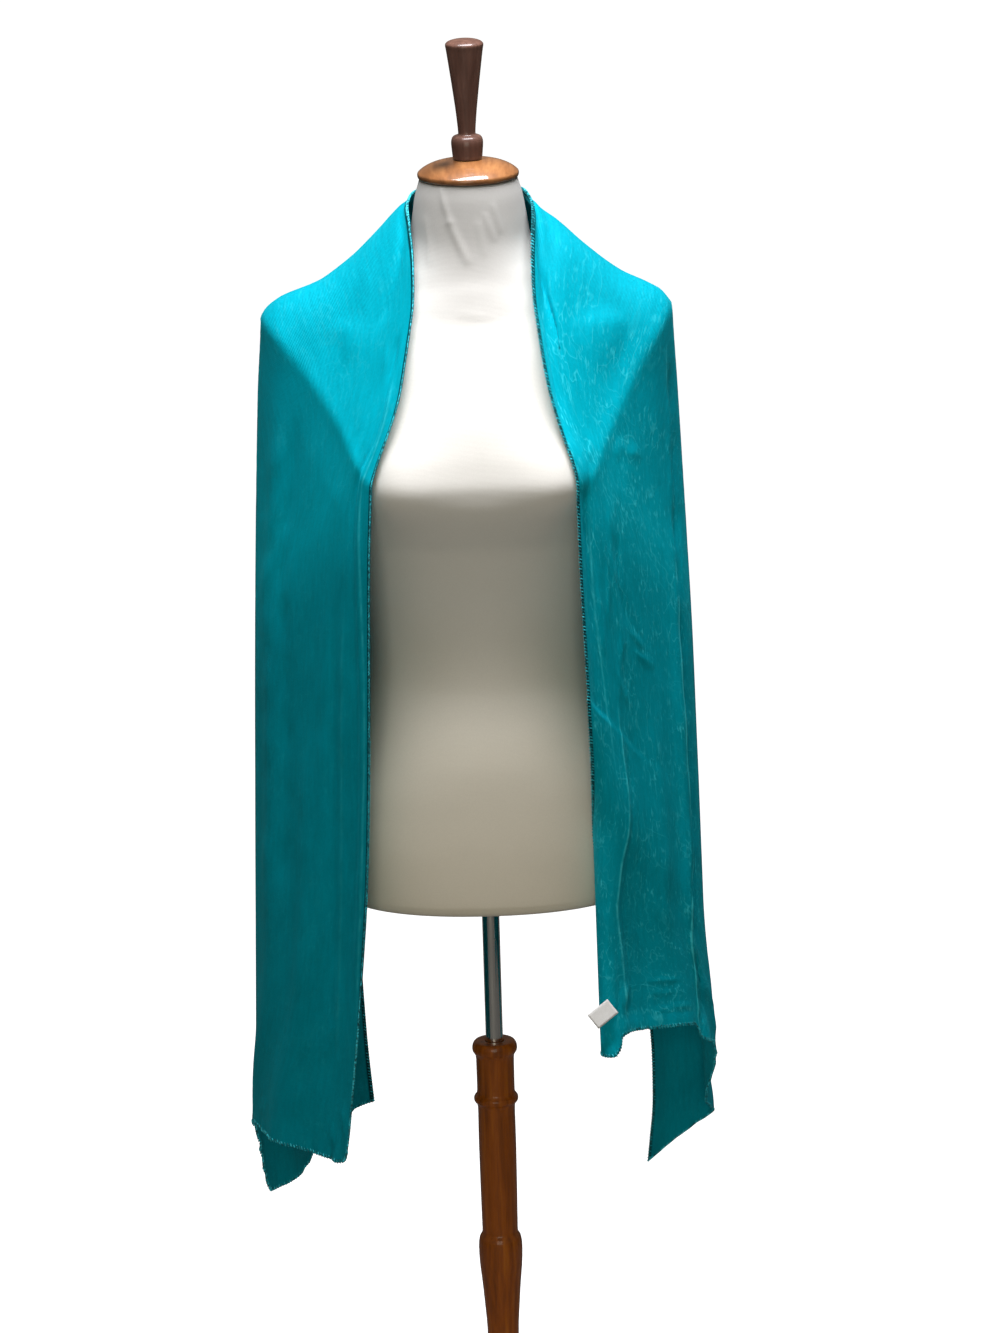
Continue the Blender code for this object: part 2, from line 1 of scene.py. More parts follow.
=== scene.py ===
"""A jersey knit scarf draped over the shoulders of a limbless dress form on a turned wooden stand.

Metres, +Z up. The origin is the centre of the base's underside. +X is the right of someone who faces
the form, and -Y is the form's front. One frozen dataclass or small class stands for each finish, and
one class for each sub-assembly: the scarf, its label, the form, the turned wood and the studio.
"""

import logging
import math
from dataclasses import dataclass
from enum import Enum

import bmesh
import bpy
import numpy as np
from mathutils import Matrix, Vector


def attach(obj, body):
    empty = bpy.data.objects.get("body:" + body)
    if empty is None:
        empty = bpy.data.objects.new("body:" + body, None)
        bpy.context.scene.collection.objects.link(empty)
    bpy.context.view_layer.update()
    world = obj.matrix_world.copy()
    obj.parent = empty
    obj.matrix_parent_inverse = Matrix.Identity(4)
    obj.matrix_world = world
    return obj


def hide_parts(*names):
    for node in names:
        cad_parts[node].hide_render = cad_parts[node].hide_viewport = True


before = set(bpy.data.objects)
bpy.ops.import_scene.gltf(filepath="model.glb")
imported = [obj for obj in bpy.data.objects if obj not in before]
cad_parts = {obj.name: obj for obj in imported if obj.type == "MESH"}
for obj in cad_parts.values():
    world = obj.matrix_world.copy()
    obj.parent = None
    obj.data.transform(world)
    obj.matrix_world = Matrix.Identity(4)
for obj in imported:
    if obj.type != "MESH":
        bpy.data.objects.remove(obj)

log = logging.getLogger("scarf")
Array = np.ndarray
Socket = bpy.types.NodeSocket
Material = bpy.types.Material
Pair = tuple[float, float]
Triple = tuple[float, float, float]
Pairs = tuple[Pair, ...]


# Small curve helpers

def slopes(knots: Array, values: Array) -> Array:
    """Slopes of a smooth curve through the knots that adds no bumps between them.

    Args:
        knots: Rising places of the knots, one column for each curve.
        values: Values at the knots, in the same columns.

    Returns:
        One slope for each value.
    """
    steps = np.diff(knots, axis=0)
    chords = np.diff(values, axis=0) / steps
    out = np.empty_like(values)
    before, after = steps[:-1], steps[1:]
    left, right = chords[:-1], chords[1:]
    same = left * right > 0
    safe_left, safe_right = np.where(same, left, 1.0), np.where(same, right, 1.0)
    first, second = 2 * after + before, after + 2 * before
    out[1:-1] = np.where(same, (first + second) / (first / safe_left + second / safe_right), 0.0)
    out[0], out[-1] = chords[0], chords[-1]
    return out


def smooth(knots: Array, values: Array, at: Array) -> Array:
    """Values of a smooth curve through the knots.

    Args:
        knots: Rising places of the knots, or one column of them for each place asked.
        values: Values at the knots, or one column of them for each place asked.
        at: The places asked.

    Returns:
        One value for each place.
    """
    at = np.asarray(at, float)
    knots, values = (np.asarray(table, float) for table in (knots, values))
    knots = knots if knots.ndim == 2 else np.repeat(knots[:, None], at.size, axis=1)
    values = values if values.ndim == 2 else np.repeat(values[:, None], at.size, axis=1)
    at = np.clip(at, knots[0], knots[-1])
    slope = slopes(knots, values)
    i = np.clip((knots <= at).sum(axis=0) - 1, 0, len(knots) - 2)
    n = np.arange(at.size)
    step = knots[i + 1, n] - knots[i, n]
    x = (at - knots[i, n]) / step
    low, high = values[i, n], values[i + 1, n]
    return (
        low * (2 * x**3 - 3 * x**2 + 1)
        + high * (3 * x**2 - 2 * x**3)
        + step * (slope[i, n] * (x**3 - 2 * x**2 + x) + slope[i + 1, n] * (x**3 - x**2))
    )


def ease(low: float, high: float, at: Array | float) -> Array:
    """A smooth rise from 0 at low to 1 at high."""
    x = np.clip((np.asarray(at, float) - low) / (high - low), 0, 1)
    return x * x * (3 - 2 * x)


def bump(distance: Array, half_width: float) -> Array:
    """A bell-shaped rise, 1 at no distance and all but 0 past twice the half width."""
    return np.exp(-((distance / half_width) ** 2))


# Tables of the form and of the scarf's drape

@dataclass(frozen=True)
class Section:
    """A level section of the form: its half width, and its depth in front of and behind the axis."""

    height: float
    half_width: float
    front: float
    back: float
    power: float


@dataclass(frozen=True)
class Meridian:
    """How far the cloth stands from the form's axis in one direction, turned from the front in degrees."""

    angle: float
    neck_reach: float
    knee_reach: float
    knee_height: float
    tip_reach: float
    tip_height: float
    hang_reach: float
    hem_reach: float


@dataclass(frozen=True)
class Station:
    """Where one crosswise line of the knit lies: its ends at the neck edge and at the outer edge."""

    run: float
    inner_angle: float
    inner_height: float
    outer_angle: float
    outer_height: float


@dataclass(frozen=True)
class HemPoint:
    """The height of an end hem at a share of the way from the neck edge."""

    share: float
    height: float


@dataclass(frozen=True)
class Fold:
    """A soft ridge along the scarf, or with a negative height a trough, that grows between two runs."""

    share: float
    half_width: float
    height: float
    start: float
    full: float


@dataclass(frozen=True)
class Flute:
    """A standing wave of the cloth's lower part across the back."""

    run: float
    half_width: float
    height: float


@dataclass(frozen=True)
class Crease:
    """A crease pressed or pulled into the knit, along a path of runs and shares of the width."""

    path: Pairs
    half_width: float
    height: float
    fade: float = 0.02


def column(table: tuple, name: str) -> Array:
    """One named column of a table."""
    return np.array([getattr(row, name) for row in table], float)


class Side(Enum):
    """The form's side that a fall hangs on, as seen by someone who faces it."""

    LEFT = -1
    RIGHT = 1


# Finishes

# The span of one band of a wave texture at scale 1
WAVE_BAND = 2 * math.pi / 20


@dataclass(frozen=True)
class Paint:
    """A node tree under construction, with short ways to add and join its nodes."""

    material: Material

    @classmethod
    def start(cls, name: str) -> "Paint":
        """A node tree with no more than its Principled shader and its output."""
        material = bpy.data.materials.new(name)
        material.use_nodes = True
        return cls(material)

    @property
    def shader(self) -> bpy.types.Node:
        """The Principled shader."""
        return self.material.node_tree.nodes["Principled BSDF"]

    def node(self, kind: str, **settings: object) -> bpy.types.Node:
        """Adds a node.

        Args:
            kind: The node's type name.
            settings: Its properties, or with a leading underscore the sockets to set.

        Returns:
            The node.
        """
        made = self.material.node_tree.nodes.new(kind)
        for name, value in settings.items():
            if name.startswith("_"):
                made.inputs[name[1:].replace("_", " ")].default_value = value
            else:
                setattr(made, name, value)
        return made

    def join(self, source: Socket, target: Socket) -> None:
        """Links an output to an input."""
        self.material.node_tree.links.new(source, target)

    def mapped(self, output: str, scale: Triple = (1.0, 1.0, 1.0)) -> Socket:
        """Texture coordinates, scaled along each axis."""
        mapping = self.node("ShaderNodeMapping", _Scale=scale)
        self.join(self.node("ShaderNodeTexCoord").outputs[output], mapping.inputs["Vector"])
        return mapping.outputs["Vector"]

    def split(self, vector: Socket) -> tuple[Socket, Socket, Socket]:
        """A vector's three parts."""
        made = self.node("ShaderNodeSeparateXYZ")
        self.join(vector, made.inputs[0])
        return made.outputs["X"], made.outputs["Y"], made.outputs["Z"]

    def noise(self, vector: Socket, scale: float, detail: float = 2.0, distortion: float = 0.0) -> Socket:
        """A noise texture's value."""
        made = self.node("ShaderNodeTexNoise", _Scale=scale, _Detail=detail, _Distortion=distortion)
        self.join(vector, made.inputs["Vector"])
        return made.outputs["Fac"]

    def ribs(self, vector: Socket, pitch: float, direction: str, distortion: float = 0.0) -> Socket:
        """A banded wave's value, with one band for each pitch along one direction."""
        scale = WAVE_BAND / pitch
        made = self.node("ShaderNodeTexWave", bands_direction=direction, _Scale=scale, _Distortion=distortion)
        self.join(vector, made.inputs["Vector"])
        return made.outputs["Fac"]

    def between(self, value: Socket, stops: tuple[tuple[float, Triple], ...]) -> Socket:
        """A colour ramp over a value."""
        ramp = self.node("ShaderNodeValToRGB")
        elements = ramp.color_ramp.elements
        while len(elements) < len(stops):
            elements.new(0.5)
        for element, (place, colour) in zip(elements, stops):
            element.position = place
            element.color = (*colour, 1.0)
        self.join(value, ramp.inputs["Fac"])
        return ramp.outputs["Color"]

    def ranged(
        self, value: Socket, source: Pair = (0.0, 1.0), target: Pair = (0.0, 1.0), soft: bool = False
    ) -> Socket:
        """A value brought from one range to another, and held inside it.

        Args:
            value: The value.
            source: The two levels that it is read between.
            target: What it becomes at each of them.
            soft: Whether it eases out of the one and into the other.

        Returns:
            The new value.
        """
        made = self.node(
            "ShaderNodeMapRange", interpolation_type="SMOOTHSTEP" if soft else "LINEAR",
            _From_Min=source[0], _From_Max=source[1], _To_Min=target[0], _To_Max=target[1],
        )
        self.join(value, made.inputs["Value"])
        return made.outputs["Result"]

    def operate(self, operation: str, *parts: Socket | float) -> Socket:
        """The result of one operation on values and numbers."""
        made = self.node("ShaderNodeMath", operation=operation)
        for part, target in zip(parts, made.inputs):
            if isinstance(part, float):
                target.default_value = part
            else:
                self.join(part, target)
        return made.outputs[0]

    def product(self, *values: Socket) -> Socket:
        """The product of two or more values."""
        total = values[0]
        for value in values[1:]:
            total = self.operate("MULTIPLY", total, value)
        return total

    def sum_of(self, *parts: tuple[Socket, float]) -> Socket:
        """A weighted sum of values."""
        total = 0.0
        for value, weight in parts:
            total = self.operate("MULTIPLY_ADD", value, weight, total)
        return total

    def shaded(self, colour: Socket, factor: Socket) -> Socket:
        """A colour made darker or lighter by a factor."""
        made = self.node("ShaderNodeVectorMath", operation="SCALE")
        self.join(colour, made.inputs[0])
        self.join(factor, made.inputs["Scale"])
        return made.outputs[0]

    def relief(self, height: Socket, strength: float, depth: float) -> None:
        """Feeds a height to the shader's normal as a bump."""
        made = self.node("ShaderNodeBump", _Strength=strength, _Distance=depth)
        self.join(height, made.inputs["Height"])
        self.join(made.outputs["Normal"], self.shader.inputs["Normal"])

    def coat_with(self, colour: Socket, **values: object) -> Material:
        """Gives the shader its colour and its own sockets, with spaces in their names as underscores.

        Args:
            colour: What feeds the base colour.
            values: The sockets' values.

        Returns:
            The finished material.
        """
        self.join(colour, self.shader.inputs["Base Color"])
        for name, value in values.items():
            self.shader.inputs[name.replace("_", " ")].default_value = value
        return self.material


def toned(colour: Triple, factor: float) -> Triple:
    """A colour multiplied by a factor, and held at white."""
    return tuple(min(1.0, part * factor) for part in colour)


@dataclass(frozen=True)
class CreaseHighlight:
    """A thin painted highlight along a crease of the scarf: its share of the width at each run."""

    path: Pairs
    half_width: float
    strength: float


@dataclass(frozen=True)
class JerseyFinish:
    """Fine teal jersey with a soft sheen: wales, streaks, crushed veins, painted crease highlights and painted edge
    shade.
    """

    deep: Triple = (0.0, 0.24, 0.31)
    light: Triple = (0.0, 0.37, 0.48)
    # The colour of the crushed veins and scratches, a painted sheen, and of the crease lines, a painted highlight
    crushed_highlight: Triple = (0.05, 0.62, 0.70)
    sheen: Triple = (0.03, 0.9, 1.0)
    glint: Triple = (0.05, 0.9, 1.0)
    wale: float = 0.0013
    course: float = 0.00104
    width: float = 0.43
    run_low: float = -1.20
    run_high: float = 1.10
    # The bound strip along each long edge: where it begins to lighten, where it ends, and how dark its painted shade
    # under the thread is
    bound_dark: float = 0.0042
    bound: float = 0.0060
    bound_shade: float = 0.10
    # The right end's front, more crushed and lit with painted sheen: runs and shares over which that grows, and how
    # much lighter it is
    crush_and_sheen_runs: Pair = (0.06, 0.26)
    crush_and_sheen_shares: Pair = (0.56, 0.64)
    lighter: float = 1.22
    # Painted light and shade over the shoulders, by run: above 1 lighter, below 1 darker
    shoulders: Pairs = (
        (-0.48, 1.0), (-0.35, 1.50), (-0.23, 1.26), (-0.14, 1.02),
        (0.14, 0.88), (0.22, 1.12), (0.34, 1.38), (0.44, 1.04),
    )
    # Painted highlights along creases of the scarf, and how far each fades in at its ends
    line_end: float = 0.04
    lines: tuple[CreaseHighlight, ...] = (
        CreaseHighlight((
            (0.14, 0.369), (0.168, 0.413), (0.197, 0.463), (0.271, 0.488), (0.404, 0.466), (0.528, 0.458),
            (0.631, 0.463), (0.700, 0.467), (0.769, 0.452), (0.885, 0.412), (1.033, 0.406),
        ), 0.0012, 2.4),
        CreaseHighlight((
            (0.60, 0.150), (0.70, 0.147), (0.80, 0.141), (0.845, 0.140), (0.92, 0.157), (0.955, 0.165),
            (1.033, 0.170),
        ), 0.0013, 0.90),
        CreaseHighlight((
            (-1.00, 0.020), (-0.788, 0.027), (-0.626, 0.024), (-0.513, 0.038), (-0.423, 0.050), (-0.335, 0.046),
            (-0.27, 0.046),
        ), 0.0015, 0.40),
        CreaseHighlight(((-1.03, 0.094), (-0.952, 0.106), (-0.716, 0.125), (-0.494, 0.113)), 0.0020, 0.18),
        CreaseHighlight(((0.42, 0.066), (0.471, 0.070), (0.552, 0.080), (0.611, 0.096), (0.69, 0.100)), 0.0014, 0.45),
    )

    def level(self, run: float) -> float:
        """A run as a share of the way from the lowest run to the highest."""
        return (run - self.run_low) / (self.run_high - self.run_low)

    def line(self, paint: Paint, across: Socket, place: Socket, highlight: CreaseHighlight) -> Socket:
        """How near each point is to one painted crease highlight, from 0 to its strength.

        Args:
            paint: The node tree.
            across: Metres from the neck edge.
            place: The run, from 0 at the lowest to 1 at the highest.
            highlight: The painted highlight.

        Returns:
            The nearness.
        """
        curve = paint.node("ShaderNodeFloatCurve")
        points = curve.mapping.curves[0].points
        while len(points) < len(highlight.path):
            points.new(0.5, 0.5)
        for point, (run, share) in zip(points, sorted(highlight.path)):
            point.location = (self.level(run), share)
        curve.mapping.update()
        paint.join(place, curve.inputs["Value"])
        off = paint.operate("MULTIPLY_ADD", curve.outputs["Value"], -self.width, across)
        size = paint.operate("ABSOLUTE", off)
        near = paint.ranged(size, (0.0, 2 * highlight.half_width), (highlight.strength, 0.0), soft=True)
        first, last = min(highlight.path)[0], max(highlight.path)[0]
        begins = paint.ranged(place, (self.level(first), self.level(first + self.line_end)))
        ends = paint.ranged(place, (self.level(last), self.level(last - self.line_end)))
        return paint.product(near, begins, ends)

    def veins(self, paint: Paint, flat: Socket, scale: float, width: float) -> Socket:
        """Thin wandering lines where the knit is crushed, in scattered patches; their light colour is a painted
        sheen.
        """
        off = paint.operate("SUBTRACT", paint.noise(flat, scale, 2.0, 0.4), 0.5)
        near = paint.ranged(paint.operate("ABSOLUTE", off), (0.0, width), (1.0, 0.0), soft=True)
        patches = paint.ranged(paint.noise(flat, scale * 0.45, 1.0), (0.44, 0.60))
        return paint.product(near, patches)

    def flecks(self, paint: Paint, drawn: Socket, flat: Socket) -> Socket:
        """Short light scratches along the scarf, in scattered patches, the light a painted glint on the crushed knit.
        """
        short = paint.ranged(paint.noise(drawn, 330.0, 2.0), (0.56, 0.70))
        patches = paint.ranged(paint.noise(flat, 26.0, 2.0), (0.43, 0.62), (0.12, 1.0))
        return paint.product(short, patches)

    def edge_shade(self, paint: Paint, across: Socket) -> Socket:
        """A factor that is low on the bound strips of both long edges, as painted shade under the thread, and 1
        elsewhere.
        """
        dark = (self.bound_shade, 1.0)
        near = paint.ranged(across, (self.bound_dark, self.bound), dark)
        far = paint.ranged(across, (self.width - self.bound_dark, self.width - self.bound), dark)
        return paint.product(near, far)

    def crush_and_sheen_front(self, paint: Paint, across: Socket, run: Socket) -> Socket:
        """1 on the front of the right end, which is the more crushed one with painted sheen, and 0 on the left end
        and the back.
        """
        low, high = self.crush_and_sheen_shares
        front = paint.ranged(across, (low * self.width, high * self.width), (1.0, 0.0))
        return paint.product(paint.ranged(run, self.crush_and_sheen_runs), front)

    def painted_shoulder_light(self, paint: Paint, run: Socket) -> Socket:
        """A factor of painted light over the shoulders, below 1 where it paints shade, and near 1 elsewhere."""
        tones = tuple((at + 0.5, (tone, tone, tone)) for at, tone in self.shoulders)
        return paint.between(paint.ranged(run, (-0.5, 0.5)), tones)

    def marks(self, paint: Paint, flat: Socket, across: Socket, run: Socket, crush_and_sheen: Socket) -> Socket:
        """How much of the light crushed colour shows: veins and scratches with painted sheen, and broken painted
        crease highlights.

        Args:
            paint: The node tree.
            flat: The scarf's own coordinates.
            across: Metres from the neck edge.
            run: Metres from the centre back, below 0 on the left.
            crush_and_sheen: How crushed the knit is, and how much painted sheen it has.

        Returns:
            The marks' strength.
        """
        drawn, long = paint.mapped("UV", (1.0, 0.26, 1.0)), paint.mapped("UV", (1.0, 0.45, 1.0))
        fine, coarse = self.veins(paint, long, 62.0, 0.026), self.veins(paint, flat, 27.0, 0.014)
        crushed_highlight = paint.sum_of((fine, 0.34), (coarse, 0.26), (self.flecks(paint, drawn, flat), 0.62))
        parts = [(paint.product(crushed_highlight, paint.ranged(crush_and_sheen, target=(0.22, 1.0))), 1.0)]
        broken = paint.ranged(paint.noise(flat, 60.0, 2.0), (0.38, 0.58), (0.35, 1.0))
        place = paint.ranged(run, (self.run_low, self.run_high))
        parts += [(paint.product(self.line(paint, across, place, highlight), broken), 1.0) for highlight in self.lines]
        return paint.sum_of(*parts)

    def make(self) -> Material:
        """The jersey's material, on the scarf's own UV map in metres."""
        paint = Paint.start("teal_jersey")
        flat = paint.mapped("UV")
        across, run, _ = paint.split(flat)
        wales, courses = paint.ribs(flat, self.wale, "X"), paint.ribs(flat, self.course, "Y")
        speckle, clouds = paint.noise(flat, 420.0, 3.0), paint.noise(flat, 14.0, 3.0)
        streaks = paint.noise(paint.mapped("UV", (1.0, 0.10, 1.0)), 260.0, 3.0)
        tone = paint.sum_of((wales, 0.06), (courses, 0.03), (speckle, 0.36), (streaks, 0.36), (clouds, 0.34))
        crush_and_sheen = self.crush_and_sheen_front(paint, across, run)
        marked = self.marks(paint, flat, across, run, crush_and_sheen)
        lit = paint.node("ShaderNodeMix", data_type="RGBA", clamp_factor=True)
        paint.join(marked, lit.inputs["Factor"])
        paint.join(paint.between(tone, ((0.34, self.deep), (0.80, self.light))), lit.inputs[6])
        lit.inputs[7].default_value = (*self.crushed_highlight, 1.0)
        # Painted sheen on the right end's front and painted light and shade over the shoulders; the bound edges take
        # painted shade below
        painted_light_and_shade = paint.product(paint.ranged(crush_and_sheen, target=(1.0, self.lighter)), self.painted_shoulder_light(paint, run))
        height = paint.sum_of((wales, 0.5), (courses, 0.3), (streaks, 0.6), (speckle, 0.6), (marked, 1.6))
        paint.relief(height, 0.42, 0.0007)
        return paint.coat_with(
            paint.shaded(lit.outputs[2], paint.product(self.edge_shade(paint, across), painted_light_and_shade)),
            Roughness=0.60, Specular_IOR_Level=0.18, Specular_Tint=(*self.glint, 1.0),
            Sheen_Weight=0.18, Sheen_Roughness=0.42, Sheen_Tint=(*self.sheen, 1.0),
        )


@dataclass(frozen=True)
class OverlockFinish:
    """The thread that binds the scarf's edges: drier than the knit, and lighter on some loops than on others, as
    painted highlight and shade.
    """

    colour: Triple = (0.03, 0.34, 0.40)
    sheen: Triple = (0.05, 0.9, 1.0)

    def make(self) -> Material:
        """The thread's material."""
        paint = Paint.start("overlock_thread")
        fuzz = paint.noise(paint.mapped("Object"), 300.0, 3.0)
        dark = tuple(part * 0.35 for part in self.colour)
        paint.relief(fuzz, 0.3, 0.0003)
        # A random tone from loop to loop: the ramp's light end is a painted highlight, its dark end painted shade
        return paint.coat_with(
            paint.between(fuzz, ((0.40, dark), (0.62, toned(self.colour, 2.3)))),
            Roughness=0.7, Specular_IOR_Level=0.2, Sheen_Weight=0.2, Sheen_Tint=(*self.sheen, 1.0),
        )


@dataclass(frozen=True)
class CoverFinish:
    """The form's off-white knit cover: warmer at the hips, and greyer towards the cap, a painted shade under the cap.
    """

    colour: Triple = (0.86, 0.84, 0.79)
    row: float = 0.0012
    low: float = 0.80
    high: float = 1.566
    # Tints by height: warmer low down, and from 1.46 up a grey that is painted shade under the cap
    tones: tuple[tuple[float, Triple], ...] = (
        (0.80, (1.06, 1.00, 0.87)), (0.98, (1.02, 0.985, 0.89)), (1.14, (1.0, 1.0, 0.98)), (1.40, (1.0, 1.0, 1.0)),
        (1.46, (0.70, 0.70, 0.70)), (1.50, (0.55, 0.55, 0.55)), (1.56, (0.44, 0.44, 0.44)),
    )

    def make(self) -> Material:
        """The cover's material."""
        paint = Paint.start("form_cover_knit")
        place = paint.mapped("Object")
        rows = paint.ribs(place, self.row, "Z", 0.4)
        fibre, soft = paint.noise(place, 600.0, 3.0), paint.noise(place, 9.0, 2.0)
        tone = paint.sum_of((rows, 0.10), (fibre, 0.45), (soft, 0.45))
        level = paint.ranged(paint.split(place)[2], (self.low, self.high))
        stops = tuple(((height - self.low) / (self.high - self.low), tint) for height, tint in self.tones)
        tinted_and_shaded = paint.node("ShaderNodeVectorMath", operation="MULTIPLY")
        knit = paint.between(tone, ((0.3, toned(self.colour, 0.955)), (0.7, toned(self.colour, 1.03))))
        paint.join(knit, tinted_and_shaded.inputs[0])
        paint.join(paint.between(level, stops), tinted_and_shaded.inputs[1])
        paint.relief(paint.sum_of((rows, 0.4), (fibre, 0.6)), 0.22, 0.0004)
        return paint.coat_with(
            tinted_and_shaded.outputs[0], Roughness=0.85, Specular_IOR_Level=0.25, Sheen_Weight=0.12, Sheen_Roughness=0.5
        )


@dataclass(frozen=True)
class VarnishedWood:
    """Turned and varnished wood: streaks along the grain under a gloss coat."""

    name: str
    dark: Triple
    middle: Triple
    light: Triple
    along: Triple = (1.0, 1.0, 0.06)
    grain: float = 190.0
    gloss: float = 0.10
    coat: float = 0.45
    # A painted shadow of the finial on the cap: its centre, how far round it reaches, and how dark it is at the
    # centre
    finial_shadow: tuple[float, float, float, float] | None = None
    finial_shadow_shade: float = 0.15

    def make(self) -> Material:
        """The wood's material, on object coordinates."""
        paint = Paint.start(self.name)
        place = paint.mapped("Object", self.along)
        streaks, figure = paint.noise(place, self.grain, 5.0), paint.noise(place, self.grain * 0.16, 3.0)
        pores = paint.noise(place, self.grain * 4.5, 2.0)
        tone = paint.sum_of((streaks, 0.5), (figure, 0.4), (pores, 0.1))
        colour = paint.between(tone, ((0.32, self.dark), (0.5, self.middle), (0.68, self.light)))
        paint.relief(paint.sum_of((streaks, 0.5), (pores, 0.5)), 0.10, 0.0004)
        return paint.coat_with(
            self.finial_shadowed(paint, colour),
            Roughness=0.45, Specular_IOR_Level=0.22, Coat_Weight=self.coat, Coat_Roughness=self.gloss,
        )

    def finial_shadowed(self, paint: Paint, colour: Socket) -> Socket:
        """The colour, darkened round the centre of the painted shadow of the finial, if there is one."""
        if self.finial_shadow is None:
            return colour
        *centre, radius = self.finial_shadow
        away = paint.node("ShaderNodeVectorMath", operation="DISTANCE")
        paint.join(paint.mapped("Object"), away.inputs[0])
        away.inputs[1].default_value = centre
        shade = paint.ranged(away.outputs["Value"], (0.0, radius), (self.finial_shadow_shade, 1.0), soft=True)
        return paint.shaded(colour, shade)


@dataclass(frozen=True)
class PolishedSteel:
    """The pole's polished tube, with faint marks from sliding."""

    colour: Triple = (0.90, 0.88, 0.82)
    roughness: Pair = (0.12, 0.24)

    def make(self) -> Material:
        """The steel's material."""
        paint = Paint.start("polished_steel")
        marks = paint.noise(paint.mapped("Object", (1.0, 1.0, 0.02)), 700.0, 3.0)
        paint.join(paint.ranged(marks, (0.3, 0.7), self.roughness), paint.shader.inputs["Roughness"])
        colour = paint.between(marks, ((0.3, toned(self.colour, 0.9)), (0.7, self.colour)))
        return paint.coat_with(colour, Metallic=1.0)


@dataclass(frozen=True)
class TapeFinish:
    """The label's blank woven tape."""

    colour: Triple = (0.97, 0.96, 0.94)
    warp: float = 0.0006
    weft: float = 0.0007

    def make(self) -> Material:
        """The tape's material, on its own UV map in metres."""
        paint = Paint.start("label_tape")
        place = paint.mapped("UV")
        warp, weft = paint.ribs(place, self.warp, "X"), paint.ribs(place, self.weft, "Y")
        tone = paint.sum_of((warp, 0.25), (weft, 0.25), (paint.noise(place, 160.0, 3.0), 0.5))
        paint.relief(paint.sum_of((warp, 0.5), (weft, 0.5)), 0.3, 0.0002)
        colour = paint.between(tone, ((0.25, toned(self.colour, 0.8)), (0.75, self.colour)))
        return paint.coat_with(colour, Roughness=0.6, Specular_IOR_Level=0.35)


@dataclass(frozen=True)
class FloorFinish:
    """The studio's white floor, lit through from below, which throws little light back up."""

    seen: float = 0.80
    thrown: float = 0.20
    glow: float = 0.93

    def make(self) -> Material:
        """The floor's material."""
        paint = Paint.start("studio_floor")
        seen = paint.node("ShaderNodeLightPath").outputs["Is Camera Ray"]
        paint.join(paint.operate("MULTIPLY", seen, self.glow), paint.shader.inputs["Emission Strength"])
        return paint.coat_with(
            paint.ranged(seen, target=(self.thrown, self.seen)),
            Roughness=0.9, Specular_IOR_Level=0.1, Emission_Color=(1.0, 1.0, 1.0, 1.0),
        )


# Mesh helpers

def new_piece(
    name: str, shape: bmesh.types.BMesh, finish: Material, corner: float | None = None
) -> bpy.types.Object:
    """Turns a bmesh into a piece of the scene.

    Args:
        name: The piece's name.
        shape: Its shape, which is freed.
        finish: Its material.
        corner: The angle past which an edge stays sharp, or None to shade it all smooth.

    Returns:
        The piece.
    """
    mesh = bpy.data.meshes.new(name)
    shape.to_mesh(mesh)
    shape.free()
    piece = bpy.data.objects.new(name, mesh)
    bpy.context.scene.collection.objects.link(piece)
    mesh.shade_smooth()
    if corner is not None:
        mesh.set_sharp_from_angle(angle=corner)
    mesh.materials.append(finish)
    return piece


def unit(vectors: Array) -> Array:
    """Vectors brought to length 1."""
    return vectors / np.maximum(np.linalg.norm(vectors, axis=-1, keepdims=True), 1e-12)


# The form

